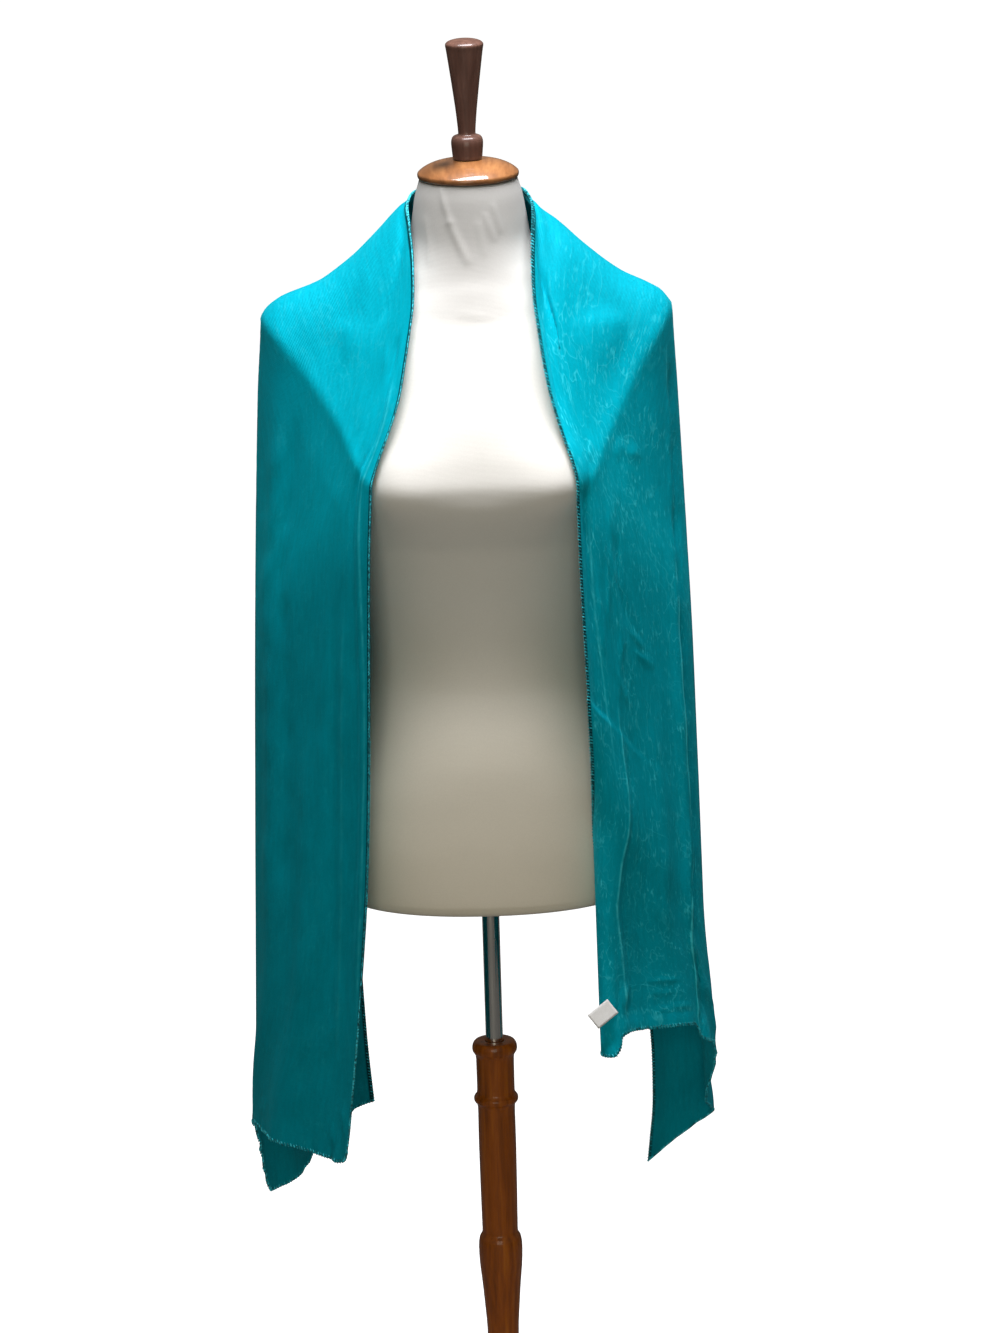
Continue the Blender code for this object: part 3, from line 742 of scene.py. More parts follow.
@dataclass
class DressForm:
    """The limbless form: a covered shell with a neck, shoulders, bust, waist and hips."""

    sections: tuple[Section, ...] = (
        Section(0.8000, 0.1560, 0.1100, 0.1100, 2.2),
        Section(0.8040, 0.1600, 0.1145, 0.1145, 2.2),
        Section(0.8120, 0.1625, 0.1165, 0.1168, 2.2),
        Section(0.8600, 0.1680, 0.1170, 0.1220, 2.2),
        Section(0.9200, 0.1610, 0.1150, 0.1165, 2.2),
        Section(0.9550, 0.1500, 0.1125, 0.1062, 2.15),
        Section(0.9850, 0.1402, 0.1072, 0.0970, 2.1),
        Section(1.0150, 0.1315, 0.0985, 0.0905, 2.1),
        Section(1.0450, 0.1240, 0.0906, 0.0860, 2.0),
        Section(1.0700, 0.1215, 0.0890, 0.0842, 2.0),
        Section(1.1200, 0.1260, 0.0935, 0.0870, 2.1),
        Section(1.1900, 0.1390, 0.1060, 0.0970, 2.2),
        Section(1.2150, 0.1436, 0.1192, 0.1000, 2.3),
        Section(1.2350, 0.1480, 0.1290, 0.1030, 2.3),
        Section(1.2480, 0.1508, 0.1322, 0.1045, 2.3),
        Section(1.2620, 0.1537, 0.1328, 0.1055, 2.3),
        Section(1.2850, 0.1575, 0.1284, 0.1067, 2.3),
        Section(1.3150, 0.1620, 0.1195, 0.1085, 2.3),
        Section(1.3600, 0.1720, 0.1035, 0.1090, 2.3),
        Section(1.4000, 0.1820, 0.0900, 0.1010, 2.2),
        Section(1.4180, 0.1840, 0.0830, 0.0920, 2.1),
        Section(1.4300, 0.1770, 0.0790, 0.0870, 1.9),
        Section(1.4400, 0.1620, 0.0765, 0.0830, 1.8),
        Section(1.4490, 0.1410, 0.0740, 0.0790, 1.8),
        Section(1.4590, 0.1180, 0.0710, 0.0740, 1.8),
        Section(1.4700, 0.0980, 0.0670, 0.0680, 1.9),
        Section(1.4860, 0.0750, 0.0630, 0.0610, 2.0),
        Section(1.5080, 0.0625, 0.0590, 0.0560, 2.0),
        Section(1.5300, 0.0590, 0.0565, 0.0540, 2.0),
        Section(1.5500, 0.0555, 0.0540, 0.0520, 2.0),
        Section(1.5660, 0.0508, 0.0505, 0.0500, 2.0),
    )
    bust_angle: float = 34.0
    bust_spread: float = 17.0
    bust_height: float = 1.262
    bust_above: float = 0.055
    bust_below: float = 0.034
    bust_fullness: float = 0.016
    socket_radius: float = 0.0098
    socket_top: float = 0.915
    around: int = 144
    neck_radius: float = 0.058
    # Ridges of the loose cover at the neck: angle, height, angle, height, half width, rise
    neck_ridges: tuple[tuple[float, ...], ...] = (
        (-33.0, 1.562, -21.0, 1.530, 0.0032, 0.0012),
        (-21.0, 1.530, -4.0, 1.492, 0.0040, 0.0013),
        (17.0, 1.536, 24.0, 1.512, 0.0028, 0.0008),
        (27.0, 1.545, 33.0, 1.519, 0.0030, 0.0008),
        (9.0, 1.528, 13.0, 1.498, 0.0035, 0.0006),
        (-52.0, 1.530, -40.0, 1.490, 0.0040, 0.0006),
        (-8.0, 1.438, 14.0, 1.434, 0.0030, 0.0004),
        (150.0, 1.545, 170.0, 1.510, 0.0040, 0.0010),
        (200.0, 1.548, 186.0, 1.512, 0.0035, 0.0008),
    )

    def reach(self, angle: Array, height: Array) -> Array:
        """The form's radius.

        Args:
            angle: Angles from the front, in degrees.
            height: Heights in metres, one for each angle.

        Returns:
            One radius for each pair.
        """
        heights = column(self.sections, "height")
        turn = np.radians(angle)
        across, along = np.abs(np.sin(turn)), np.cos(turn)
        half_width = smooth(heights, column(self.sections, "half_width"), height)
        front = smooth(heights, column(self.sections, "front"), height)
        back = smooth(heights, column(self.sections, "back"), height)
        power = smooth(heights, column(self.sections, "power"), height)
        depth = np.where(along > 0, front, back)
        plain = ((across / half_width) ** power + (np.abs(along) / depth) ** power) ** (-1 / power)
        off_angle = (np.minimum(angle, 360 - angle) - self.bust_angle) / self.bust_spread
        off_height = np.asarray(height) - self.bust_height
        off_height = off_height / np.where(off_height > 0, self.bust_above, self.bust_below)
        return plain + self.bust_fullness * np.exp(-(off_angle**2) - off_height**2)

    def cover_rise(self, angle: Array, height: Array) -> Array:
        """How far the cover's small neck wrinkles stand up."""
        rise, scale = np.zeros_like(angle), self.neck_radius
        for a0, z0, a1, z1, half_width, lift in self.neck_ridges:
            start = np.array([math.radians(a0) * scale, z0])
            end = np.array([math.radians(a1) * scale, z1])
            turned = np.where(angle > 180, angle - 360, angle) if a0 < 100 else angle
            at = np.stack([np.radians(turned) * scale, height], axis=-1)
            share = np.clip(((at - start) @ (end - start)) / ((end - start) @ (end - start)), 0, 1)
            off = np.linalg.norm(at - start - share[:, None] * (end - start), axis=-1)
            # Highest halfway along, and lower towards both ends
            swell = 0.35 + 0.65 * np.sin(np.pi * (0.15 + 0.7 * share))
            rise += lift * bump(off, half_width) * swell
        return rise

    def levels(self) -> Array:
        """Heights of the rings, closer where the form turns quickly."""
        low, high = self.sections[0].height, self.sections[-1].height
        spans = (
            (low, 0.812, 0.0020), (0.812, 1.18, 0.0085), (1.18, 1.33, 0.0050),
            (1.33, 1.40, 0.0070), (1.40, 1.50, 0.0035), (1.50, high, 0.0022),
        )
        parts = [np.arange(start, end - step / 3, step) for start, end, step in spans]
        return np.append(np.concatenate(parts), high)

    def build(self, finish: Material) -> bpy.types.Object:
        """Spins the covered body with the pole's socket below, then moves its skin out to the sections.

        Args:
            finish: The cover's material.

        Returns:
            The body.
        """
        shape = bmesh.new()
        heights = self.levels()
        line = [(0.0, self.socket_top), (self.socket_radius, self.socket_top), (self.socket_radius, heights[0])]
        line += [(1.0, height) for height in heights] + [(0.0, heights[-1])]
        verts = [shape.verts.new((radius, 0.0, height)) for radius, height in line]
        edges = [shape.edges.new(pair) for pair in zip(verts, verts[1:])]
        bmesh.ops.spin(
            shape, geom=verts + edges, cent=(0, 0, 0), axis=(0, 0, 1), angle=2 * math.pi, steps=self.around,
            use_merge=True,
        )
        bmesh.ops.remove_doubles(shape, verts=[v for v in shape.verts if v.co.xy.length < 0.001], dist=1e-6)
        skin = [v for v in shape.verts if v.co.xy.length > 0.5]
        places = np.array([v.co for v in skin])
        angles = np.degrees(np.arctan2(places[:, 0], -places[:, 1])) % 360
        reach = self.reach(angles, places[:, 2]) + self.cover_rise(angles, places[:, 2])
        for vert, (x, y, z), radius in zip(skin, places, reach):
            vert.co = (x * radius, y * radius, z)
        bmesh.ops.recalc_face_normals(shape, faces=shape.faces)
        return new_piece("form_cover", shape, finish, math.radians(50))


# The scarf

@dataclass
class Drape:
    """The surface on which the scarf lies and hangs, and where each point of the knit is on it."""

    form: DressForm
    neck_edge_height: float = 1.550
    hang_height: float = 0.50
    clearance: float = 0.0028
    shoulder_drop: float = 0.0030
    crease_height: float = 0.016
    right_shares: Triple = (0.945, 0.935, 0.932)
    right_break_angle: float = 56.0
    right_break_spread: float = 17.0
    right_break_drop: float = 0.020
    # How crisp the break at the shoulder is: at the back, how much more in front, and the angles between the two
    crispness: tuple[float, float, float, float] = (0.45, 0.50, 95.0, 66.0)
    hang_share: float = 0.06
    hang_drop: float = 0.08
    seat_blend: float = 0.004
    hem_fade: float = 0.30
    flute_start: float = 0.58
    roll_share: float = 0.130
    roll_start: float = 0.62
    roll_full: float = 1.00
    roll_turn: float = math.radians(290)
    least_turn: float = 0.02
    # The right fall's near side: how far right it hangs at one height and how that grows below, how far across the
    # cloth it moves with it, and the runs before and after the winding's start over which it straightens
    straight_edge: float = 0.1099
    straight_height: float = 0.874
    straight_slope: float = 0.0115
    straight_share: float = 0.52
    straight_runs: Pair = (0.14, 0.10)
    meridians: tuple[Meridian, ...] = (
        Meridian(18, 0.0620, 0.115, 1.410, 0.165, 1.268, 0.170, 0.178),
        Meridian(30, 0.0620, 0.116, 1.410, 0.166, 1.268, 0.171, 0.180),
        Meridian(41, 0.0620, 0.118, 1.410, 0.168, 1.270, 0.172, 0.185),
        Meridian(55, 0.0605, 0.121, 1.433, 0.171, 1.325, 0.178, 0.196),
        Meridian(68, 0.0600, 0.128, 1.453, 0.185, 1.372, 0.193, 0.219),
        Meridian(79, 0.0598, 0.142, 1.462, 0.209, 1.410, 0.215, 0.247),
        Meridian(90, 0.0596, 0.155, 1.464, 0.220, 1.425, 0.226, 0.261),
        Meridian(101, 0.0592, 0.143, 1.464, 0.208, 1.417, 0.215, 0.248),
        Meridian(112, 0.0590, 0.122, 1.468, 0.176, 1.404, 0.187, 0.214),
        Meridian(127, 0.0590, 0.104, 1.472, 0.150, 1.388, 0.155, 0.168),
        Meridian(146, 0.0580, 0.094, 1.470, 0.135, 1.370, 0.138, 0.140),
        Meridian(180, 0.0570, 0.087, 1.462, 0.119, 1.365, 0.121, 0.122),
    )
    left_stations: tuple[Station, ...] = (
        Station(0.000, 180, 1.550, 180, 1.165),
        Station(0.045, 136, 1.550, 163, 1.165),
        Station(0.085, 96, 1.550, 149, 1.158),
        Station(0.125, 62, 1.533, 139, 1.140),
        Station(0.175, 43, 1.492, 132, 1.108),
        Station(0.230, 35.5, 1.440, 128, 1.075),
        Station(0.300, 34.5, 1.372, 126, 1.040),
        Station(0.400, 40.2, 1.275, 124.5, 0.985),
        Station(0.500, 41.2, 1.175, 124, 0.925),
        Station(0.650, 42.2, 1.025, 124, 0.820),
        Station(0.800, 44.0, 0.875, 124, 0.715),
        Station(0.950, 48.0, 0.725, 125, 0.620),
        Station(1.150, 54.8, 0.522, 127, 0.540),
    )
    right_stations: tuple[Station, ...] = (
        Station(0.000, 180, 1.550, 180, 1.165),
        Station(0.045, 136, 1.550, 163, 1.164),
        Station(0.085, 96, 1.550, 149, 1.154),
        Station(0.125, 64, 1.531, 138, 1.132),
        Station(0.175, 46, 1.492, 130, 1.098),
        Station(0.230, 37.5, 1.440, 125, 1.064),
        Station(0.300, 35.0, 1.372, 122, 1.026),
        Station(0.400, 38.5, 1.275, 120, 0.962),
        Station(0.500, 38.0, 1.175, 119, 0.890),
        Station(0.650, 38.2, 1.025, 118, 0.760),
        Station(0.760, 37.6, 0.915, 116.5, 0.664),
        Station(0.860, 35.6, 0.815, 115.3, 0.580),
        Station(0.920, 33.8, 0.755, 115.6, 0.530),
        Station(0.980, 31.8, 0.695, 116.6, 0.490),
        Station(1.033, 30.2, 0.642, 117.5, 0.456),
    )
    left_hem: tuple[HemPoint, ...] = (
        HemPoint(0.00, 0.544),
        HemPoint(0.02, 0.533),
        HemPoint(0.06, 0.528),
        HemPoint(0.12, 0.530),
        HemPoint(0.25, 0.5365),
        HemPoint(0.38, 0.541),
        HemPoint(0.46, 0.543),
        HemPoint(0.51, 0.537),
        HemPoint(0.545, 0.512),
        HemPoint(0.58, 0.470),
        HemPoint(0.61, 0.447),
        HemPoint(0.70, 0.4535),
        HemPoint(0.76, 0.463),
        HemPoint(0.80, 0.474),
        HemPoint(0.87, 0.500),
        HemPoint(0.93, 0.5225),
        HemPoint(1.00, 0.525),
    )
    right_hem: tuple[HemPoint, ...] = (
        HemPoint(0.00, 0.647),
        HemPoint(0.17, 0.647),
        HemPoint(0.21, 0.668),
        HemPoint(0.36, 0.663),
        HemPoint(0.52, 0.655),
        HemPoint(0.55, 0.636),
        HemPoint(0.60, 0.627),
        HemPoint(0.64, 0.620),
        HemPoint(0.67, 0.600),
        HemPoint(0.72, 0.565),
        HemPoint(0.78, 0.535),
        HemPoint(0.82, 0.518),
        HemPoint(0.88, 0.494),
        HemPoint(1.00, 0.450),
    )
    left_folds: tuple[Fold, ...] = (
        Fold(0.10, 0.06, -0.006, 0.45, 0.80),
        Fold(0.24, 0.05, 0.006, 0.50, 0.90),
        Fold(0.40, 0.05, 0.004, 0.45, 0.90),
        Fold(0.70, 0.05, -0.010, 0.35, 0.80),
        Fold(0.82, 0.05, 0.012, 0.30, 0.80),
        Fold(0.93, 0.05, -0.006, 0.40, 0.80),
    )
    right_folds: tuple[Fold, ...] = (
        Fold(0.05, 0.03, -0.005, 0.04, 0.12),
        Fold(0.22, 0.05, -0.005, 0.45, 0.85),
        Fold(0.34, 0.05, 0.004, 0.45, 0.85),
        Fold(0.45, 0.025, 0.005, 0.25, 0.60),
        Fold(0.68, 0.09, -0.010, 0.35, 0.80),
        Fold(0.80, 0.050, 0.020, 0.85, 1.03),
        Fold(0.93, 0.05, -0.006, 0.40, 0.80),
    )
    back_flutes: tuple[Flute, ...] = (
        Flute(-0.205, 0.030, 0.020),
        Flute(-0.120, 0.032, 0.016),
        Flute(-0.035, 0.030, 0.010),
        Flute(0.055, 0.034, 0.014),
        Flute(0.140, 0.030, 0.018),
        Flute(0.215, 0.028, 0.018),
    )

    def stations(self, side: Side) -> tuple[Station, ...]:
        """The crosswise lines of one side."""
        return self.right_stations if side is Side.RIGHT else self.left_stations

    def end(self, side: Side) -> float:
        """The run of one side's hem at the neck edge."""
        return self.stations(side)[-1].run

    def reach(self, angle: Array, height: Array, side: Side) -> Array:
        """The radius of the cloth's middle surface on one side, before its folds."""
        tip_share, hang_share, hem_share = self.right_shares if side is Side.RIGHT else (1.0, 1.0, 1.0)
        angle, height = np.asarray(angle, float), np.asarray(height, float)
        angles = column(self.meridians, "angle")
        names = ("neck_reach", "knee_reach", "knee_height", "tip_reach", "tip_height", "hang_reach", "hem_reach")
        neck, knee, knee_height, tip, tip_height, hang, hem = (
            smooth(angles, column(self.meridians, name), angle) for name in names
        )
        if side is Side.RIGHT:
            near = bump(angle - self.right_break_angle, self.right_break_spread)
            tip_height = tip_height - self.right_break_drop * near
        beside = np.sin(np.radians(angle)) ** 2
        tip, hang, hem = (
            reach * (1 + (share - 1) * beside)
            for reach, share in ((tip, tip_share), (hang, hang_share), (hem, hem_share))
        )
        least, more, begins, whole = self.crispness
        crisp = least + more * ease(begins, whole, angle)
        above = tip + (knee - tip) * self.crease_height / (knee_height - tip_height) * crisp
        below = tip + (hang - tip) * self.hang_share
        level = np.ones_like(height)
        knots = np.array([
            self.hang_height * level, tip_height - self.hang_drop, tip_height - 0.5 * self.crease_height, tip_height,
            tip_height + self.crease_height, knee_height, self.neck_edge_height * level,
        ])
        free = smooth(knots, np.array([hem, hang, below, tip, above, knee, neck]), height)
        seat = self.form.reach(angle, np.asarray(height) - self.shoulder_drop) + self.clearance
        blend = self.seat_blend
        share = np.clip(0.5 + 0.5 * (seat - free) / blend, 0, 1)
        return free * (1 - share) + seat * share + blend * share * (1 - share)

    def place(self, angle: Array, height: Array, side: Side) -> Array:
        """Points of the cloth's middle surface on one side."""
        reach = self.reach(angle, height, side)
        turn = np.radians(angle)
        x, y = side.value * reach * np.sin(turn), -reach * np.cos(turn)
        return np.stack([x, y, np.asarray(height, float)], axis=-1)

    def crosswise(self, side: Side, run: float, shares: Array) -> Array:
        """One crosswise line of the knit, at shares of its own length from the neck edge."""
        table, hem = self.stations(side), self.right_hem if side is Side.RIGHT else self.left_hem
        runs = column(table, "run")
        names = ("inner_angle", "inner_height", "outer_angle", "outer_height")
        a0, z0, a1, z1 = (float(smooth(runs, column(table, name), [run])[0]) for name in names)
        last = table[-1]
        fine = np.linspace(0, 1, 161)
        straight = last.inner_height + (last.outer_height - last.inner_height) * fine
        offset = smooth(column(hem, "share"), column(hem, "height"), fine) - straight
        heights = z0 + (z1 - z0) * fine + ease(last.run - self.hem_fade, last.run, run) * offset
        angles = a0 + (a1 - a0) * fine
        line = self.place(angles, heights, side)
        along = np.concatenate([[0], np.cumsum(np.linalg.norm(np.diff(line, axis=0), axis=1))])
        even = np.interp(shares * along[-1], along, fine)
        return self.place(np.interp(even, fine, angles), np.interp(even, fine, heights), side)

    def fold_rise(self, side: Side, run: float, shares: Array) -> Array:
        """How far folds and flutes move one crosswise line outward."""
        rise = np.zeros_like(shares)
        for fold in self.right_folds if side is Side.RIGHT else self.left_folds:
            rise += ease(fold.start, fold.full, run) * fold.height * bump(shares - fold.share, fold.half_width)
        for flute in self.back_flutes:
            near = bump(np.array(side.value * run - flute.run), flute.half_width)
            rise += near * flute.height * ease(self.flute_start, 1.0, shares)
        return rise

    def clear_of_form(self, grid: Array) -> Array:
        """Moves points that lie too near the form back out to the seat."""
        x, y, z = grid.reshape(-1, 3).T
        angle = np.degrees(np.arctan2(np.abs(x), -y))
        seat = self.form.reach(angle, z - self.shoulder_drop) + self.clearance
        grow = np.maximum(1.0, seat / np.maximum(np.hypot(x, y), 1e-6))
        return np.stack([x * grow, y * grow, z], axis=-1).reshape(grid.shape)

    def wind_corner(self, grid: Array, runs: Array, shares: Array) -> Array:
        """Winds the right fall's neck edge backward into a tube towards its hem."""
        facing = facing_of(grid)
        first = int(np.searchsorted(shares, self.roll_share))
        level = np.array([1.0, 1.0, 0.0])
        for i, run in enumerate(runs):
            turn = self.roll_turn * float(ease(self.roll_start, self.roll_full, run))
            if turn < self.least_turn:
                continue
            start, inward = grid[i, first].copy(), unit(-facing[i, first] * level)
            toward_edge = unit((grid[i, first - 1] - start) * level)
            radius = np.linalg.norm(np.diff(grid[i, : first + 1] * level, axis=0), axis=1).sum() / turn
            for j in range(first):
                bend = turn * (shares[first] - shares[j]) / shares[first]
                wound = start + radius * (math.sin(bend) * toward_edge + (1 - math.cos(bend)) * inward)
                grid[i, j, :2] = wound[:2]
        return self.straighten_edge(grid, runs, shares, first)

    def straighten_edge(self, grid: Array, runs: Array, shares: Array, first: int) -> Array:
        """Moves the winding rows sideways until the right fall's near side hangs straight.

        Args:
            grid: The wound points.
            runs: Runs of its rows.
            shares: Shares of its columns.
            first: The first column outside the tube.

        Returns:
            The moved points.
        """
        weight = ease(self.straight_share, self.roll_share, shares)
        before, after = self.straight_runs
        begins, whole = self.roll_start - before, self.roll_start + after
        for i in np.nonzero(runs > begins)[0]:
            wanted = self.straight_edge + self.straight_slope * (self.straight_height - grid[i, first, 2])
            share = float(ease(begins, whole, runs[i]))
            grid[i, :, 0] += share * (wanted - grid[i, : first + 1, 0].min()) * weight
        return grid

    def points(self, runs: Array, shares: Array, rise: Array | None = None) -> Array:
        """The scarf's middle surface as a grid of points.

        Args:
            runs: Runs from the centre back, below 0 on the left.
            shares: Shares of the width from the neck edge.
            rise: Further heights of each point above the folds, such as its creases.

        Returns:
            One point for each run and share.
        """
        flat, lift = [], []
        for run in runs:
            side = Side.RIGHT if run >= 0 else Side.LEFT
            flat.append(self.crosswise(side, abs(run), shares))
            lift.append(self.fold_rise(side, abs(run), shares))
        grid, lifts = np.array(flat), np.array(lift)
        grid = self.clear_of_form(grid + facing_of(grid) * lifts[:, :, None])
        if rise is not None:
            grid = self.clear_of_form(grid + facing_of(grid) * rise[:, :, None])
        return self.wind_corner(grid, runs, shares)


def facing_of(grid: Array) -> Array:
    """Unit normals of a grid of points, outward from the form."""
    return unit(np.cross(np.gradient(grid, axis=0), np.gradient(grid, axis=1)))


@dataclass
class Scarf:
    """The one long piece of jersey, with its creases and its overlocked edges."""

    drape: Drape
    width: float = 0.43
    wall: float = 0.0010
    rows: int = 490
    edge_columns: int = 27
    front_columns: int = 38
    back_columns: int = 26
    stitch: float = 0.0034
    bite: float = 0.0048
    slant: float = math.radians(24)
    # The loops of thread: how far in from the edge and how long as shares of the bite, how wide as a share of the
    # stitch, and how high
    loop_inset: float = 0.34
    loop_length: float = 0.62
    loop_width: float = 0.25
    loop_height: float = 0.00140
    # The hems' ripples: their height and how far they reach, then the wavelength, weight and phase of each wave
    ripple_height: float = 0.0009
    ripple_reach: float = 0.016
    ripple_waves: tuple[Triple, ...] = ((0.021, 1.0, 0.0), (0.0133, 0.6, 1.3))
    right_creases: tuple[Crease, ...] = (
        Crease((
            (0.070, 0.015), (0.105, 0.020), (0.163, 0.038), (0.192, 0.056), (0.212, 0.072), (0.240, 0.076),
        ), 0.0042, -0.0078, 0.015),
        Crease(((0.240, 0.076), (0.271, 0.069), (0.306, 0.062), (0.353, 0.044)), 0.0060, -0.0022, 0.03),
        Crease((
            (0.143, 0.375), (0.168, 0.413), (0.197, 0.455), (0.271, 0.484), (0.404, 0.465), (0.528, 0.458),
            (0.631, 0.463), (0.700, 0.467), (0.769, 0.452), (0.885, 0.412), (1.016, 0.407),
        ), 0.0045, 0.0030, 0.03),
        Crease((
            (0.143, 0.400), (0.197, 0.485), (0.271, 0.515), (0.404, 0.496), (0.700, 0.498), (0.885, 0.446),
            (1.016, 0.441),
        ), 0.0105, -0.0050, 0.03),
        Crease((
            (0.600, 0.150), (0.700, 0.147), (0.845, 0.140), (0.955, 0.165), (1.033, 0.169),
        ), 0.0038, 0.0018, 0.04),
        Crease(((0.620, 0.178), (0.845, 0.172), (0.955, 0.194), (1.033, 0.197)), 0.0060, -0.0026, 0.05),
        Crease((
            (0.409, 0.045), (0.471, 0.058), (0.552, 0.072), (0.611, 0.090), (0.690, 0.094),
        ), 0.0055, -0.0024, 0.04),
        Crease((
            (0.380, 0.163), (0.444, 0.156), (0.481, 0.178), (0.520, 0.196), (0.560, 0.170), (0.597, 0.156),
        ), 0.0042, 0.0023, 0.02),
        Crease(((0.400, 0.195), (0.450, 0.190), (0.500, 0.225)), 0.0055, -0.0020, 0.02),
        Crease(((0.496, 0.235), (0.505, 0.300)), 0.0038, 0.0016, 0.01),
        Crease(((0.520, 0.255), (0.512, 0.345)), 0.0036, 0.0013, 0.01),
        Crease(((0.490, 0.090), (0.567, 0.100)), 0.0042, 0.0018, 0.015),
        Crease(((0.430, 0.125), (0.475, 0.140), (0.520, 0.130)), 0.0040, 0.0015, 0.015),
        Crease(((0.441, 0.165), (0.468, 0.215)), 0.0036, 0.0015, 0.01),
        Crease(((0.345, 0.110), (0.300, 0.165)), 0.0036, 0.0013, 0.01),
        Crease(((0.276, 0.290), (0.250, 0.350)), 0.0036, 0.0012, 0.01),
        Crease(((0.300, 0.240), (0.262, 0.285)), 0.0036, 0.0012, 0.01),
        Crease(((0.560, 0.131), (0.590, 0.219)), 0.0040, 0.0013, 0.012),
        Crease(((0.640, 0.215), (0.740, 0.235), (0.830, 0.225)), 0.0070, 0.0013, 0.04),
        Crease(((0.560, 0.330), (0.700, 0.345), (0.840, 0.330)), 0.0090, 0.0012, 0.05),
        Crease(((0.959, 0.240), (0.944, 0.335)), 0.0034, 0.0010, 0.012),
        Crease(((0.981, 0.250), (0.974, 0.320)), 0.0034, 0.0008, 0.012),
        Crease(((1.010, 0.230), (1.000, 0.375)), 0.0034, 0.0010, 0.012),
        Crease(((0.880, 0.470), (0.960, 0.505), (1.030, 0.520)), 0.0060, 0.0026, 0.03),
        Crease(((0.870, 0.440), (1.030, 0.470)), 0.0070, -0.0028, 0.03),
        Crease(((0.955, 0.190), (1.000, 0.160), (1.033, 0.150)), 0.0055, 0.0022, 0.02),
        Crease(((0.560, 0.640), (0.760, 0.660), (0.960, 0.640)), 0.0110, 0.0024, 0.06),
        Crease(((0.420, 0.740), (0.620, 0.755), (0.900, 0.760)), 0.0080, -0.0022, 0.06),
        Crease(((0.480, 0.880), (0.700, 0.870), (0.960, 0.880)), 0.0060, 0.0020, 0.05),
    )
    left_creases: tuple[Crease, ...] = (
        Crease((
            (0.066, 0.020), (0.100, 0.014), (0.135, 0.024), (0.162, 0.060), (0.178, 0.092), (0.192, 0.125),
        ), 0.0060, -0.0026, 0.02),
        Crease(((0.120, 0.110), (0.150, 0.150), (0.175, 0.190), (0.205, 0.205)), 0.0110, 0.0026, 0.03),
        Crease(((0.225, 0.060), (0.250, 0.056), (0.270, 0.070)), 0.0040, -0.0016, 0.012),
        Crease(((0.215, 0.100), (0.245, 0.092), (0.285, 0.110), (0.330, 0.120)), 0.0045, 0.0014, 0.02),
        Crease(((0.235, 0.135), (0.262, 0.150), (0.300, 0.145)), 0.0042, 0.0012, 0.015),
        Crease((
            (0.270, 0.046), (0.335, 0.050), (0.360, 0.060), (0.423, 0.056), (0.513, 0.048), (0.626, 0.036),
            (0.788, 0.036), (0.958, 0.034),
        ), 0.0050, 0.0020, 0.03),
        Crease(((0.300, 0.075), (0.423, 0.082), (0.626, 0.066), (0.900, 0.066)), 0.0062, -0.0022, 0.04),
        Crease(((0.494, 0.113), (0.716, 0.125), (0.952, 0.106), (1.029, 0.094)), 0.0065, 0.0024, 0.05),
        Crease(((0.472, 0.194), (0.703, 0.194), (0.947, 0.169)), 0.0090, 0.0020, 0.06),
        Crease(((0.500, 0.155), (0.760, 0.160), (0.960, 0.140)), 0.0070, -0.0020, 0.05),
        Crease(((0.165, 0.363), (0.310, 0.406), (0.557, 0.352), (0.804, 0.344)), 0.0120, -0.0030, 0.05),
        Crease(((0.180, 0.430), (0.330, 0.475), (0.557, 0.430), (0.830, 0.420)), 0.0140, 0.0026, 0.05),
        Crease(((0.620, 0.270), (0.820, 0.262), (1.000, 0.250)), 0.0120, 0.0018, 0.06),
        Crease(((1.027, 0.138), (1.010, 0.125), (0.977, 0.119)), 0.0036, 0.0014, 0.012),
        Crease(((1.085, 0.060), (1.128, 0.030)), 0.0036, 0.0014, 0.010),
        Crease(((1.100, 0.095), (1.135, 0.075)), 0.0036, 0.0013, 0.010),
        Crease(((1.060, 0.180), (1.110, 0.200)), 0.0038, 0.0011, 0.012),
        Crease(((1.090, 0.300), (1.130, 0.330)), 0.0038, 0.0011, 0.012),
        Crease(((0.560, 0.640), (0.760, 0.660), (0.960, 0.640)), 0.0110, 0.0024, 0.06),
        Crease(((0.420, 0.740), (0.620, 0.755), (0.960, 0.760)), 0.0080, -0.0022, 0.06),
        Crease(((0.480, 0.880), (0.700, 0.870), (1.020, 0.880)), 0.0060, 0.0020, 0.05),
    )

    def runs(self) -> Array:
        """Even runs from the left hem to the right hem."""
        return np.linspace(-self.drape.end(Side.LEFT), self.drape.end(Side.RIGHT), self.rows)

    def shares(self) -> Array:
        """Shares of the width, closer together at the neck edge."""
        edge = np.linspace(0, 0.15, self.edge_columns)
        front = np.linspace(0.15, 0.55, self.front_columns)
        return np.concatenate([edge[:-1], front[:-1], np.linspace(0.55, 1, self.back_columns)])

    def crease_rise(self, runs: Array, shares: Array) -> Array:
        """How far the creases and the hems' small ripples move each point outward.

        Args:
            runs: Runs from the centre back, below 0 on the left.
            shares: Shares of the width.

        Returns:
            One height for each run and share.
        """
        along, across = np.meshgrid(runs, shares * self.width, indexing="ij")
        at = np.stack([along.ravel(), across.ravel()], axis=-1)
        rise = np.zeros(len(at))
        for side, creases in ((Side.RIGHT, self.right_creases), (Side.LEFT, self.left_creases)):
            for crease in creases:
                rise += self.one_crease(crease, side, at)
        return (rise + self.hem_ripple(at)).reshape(along.shape)

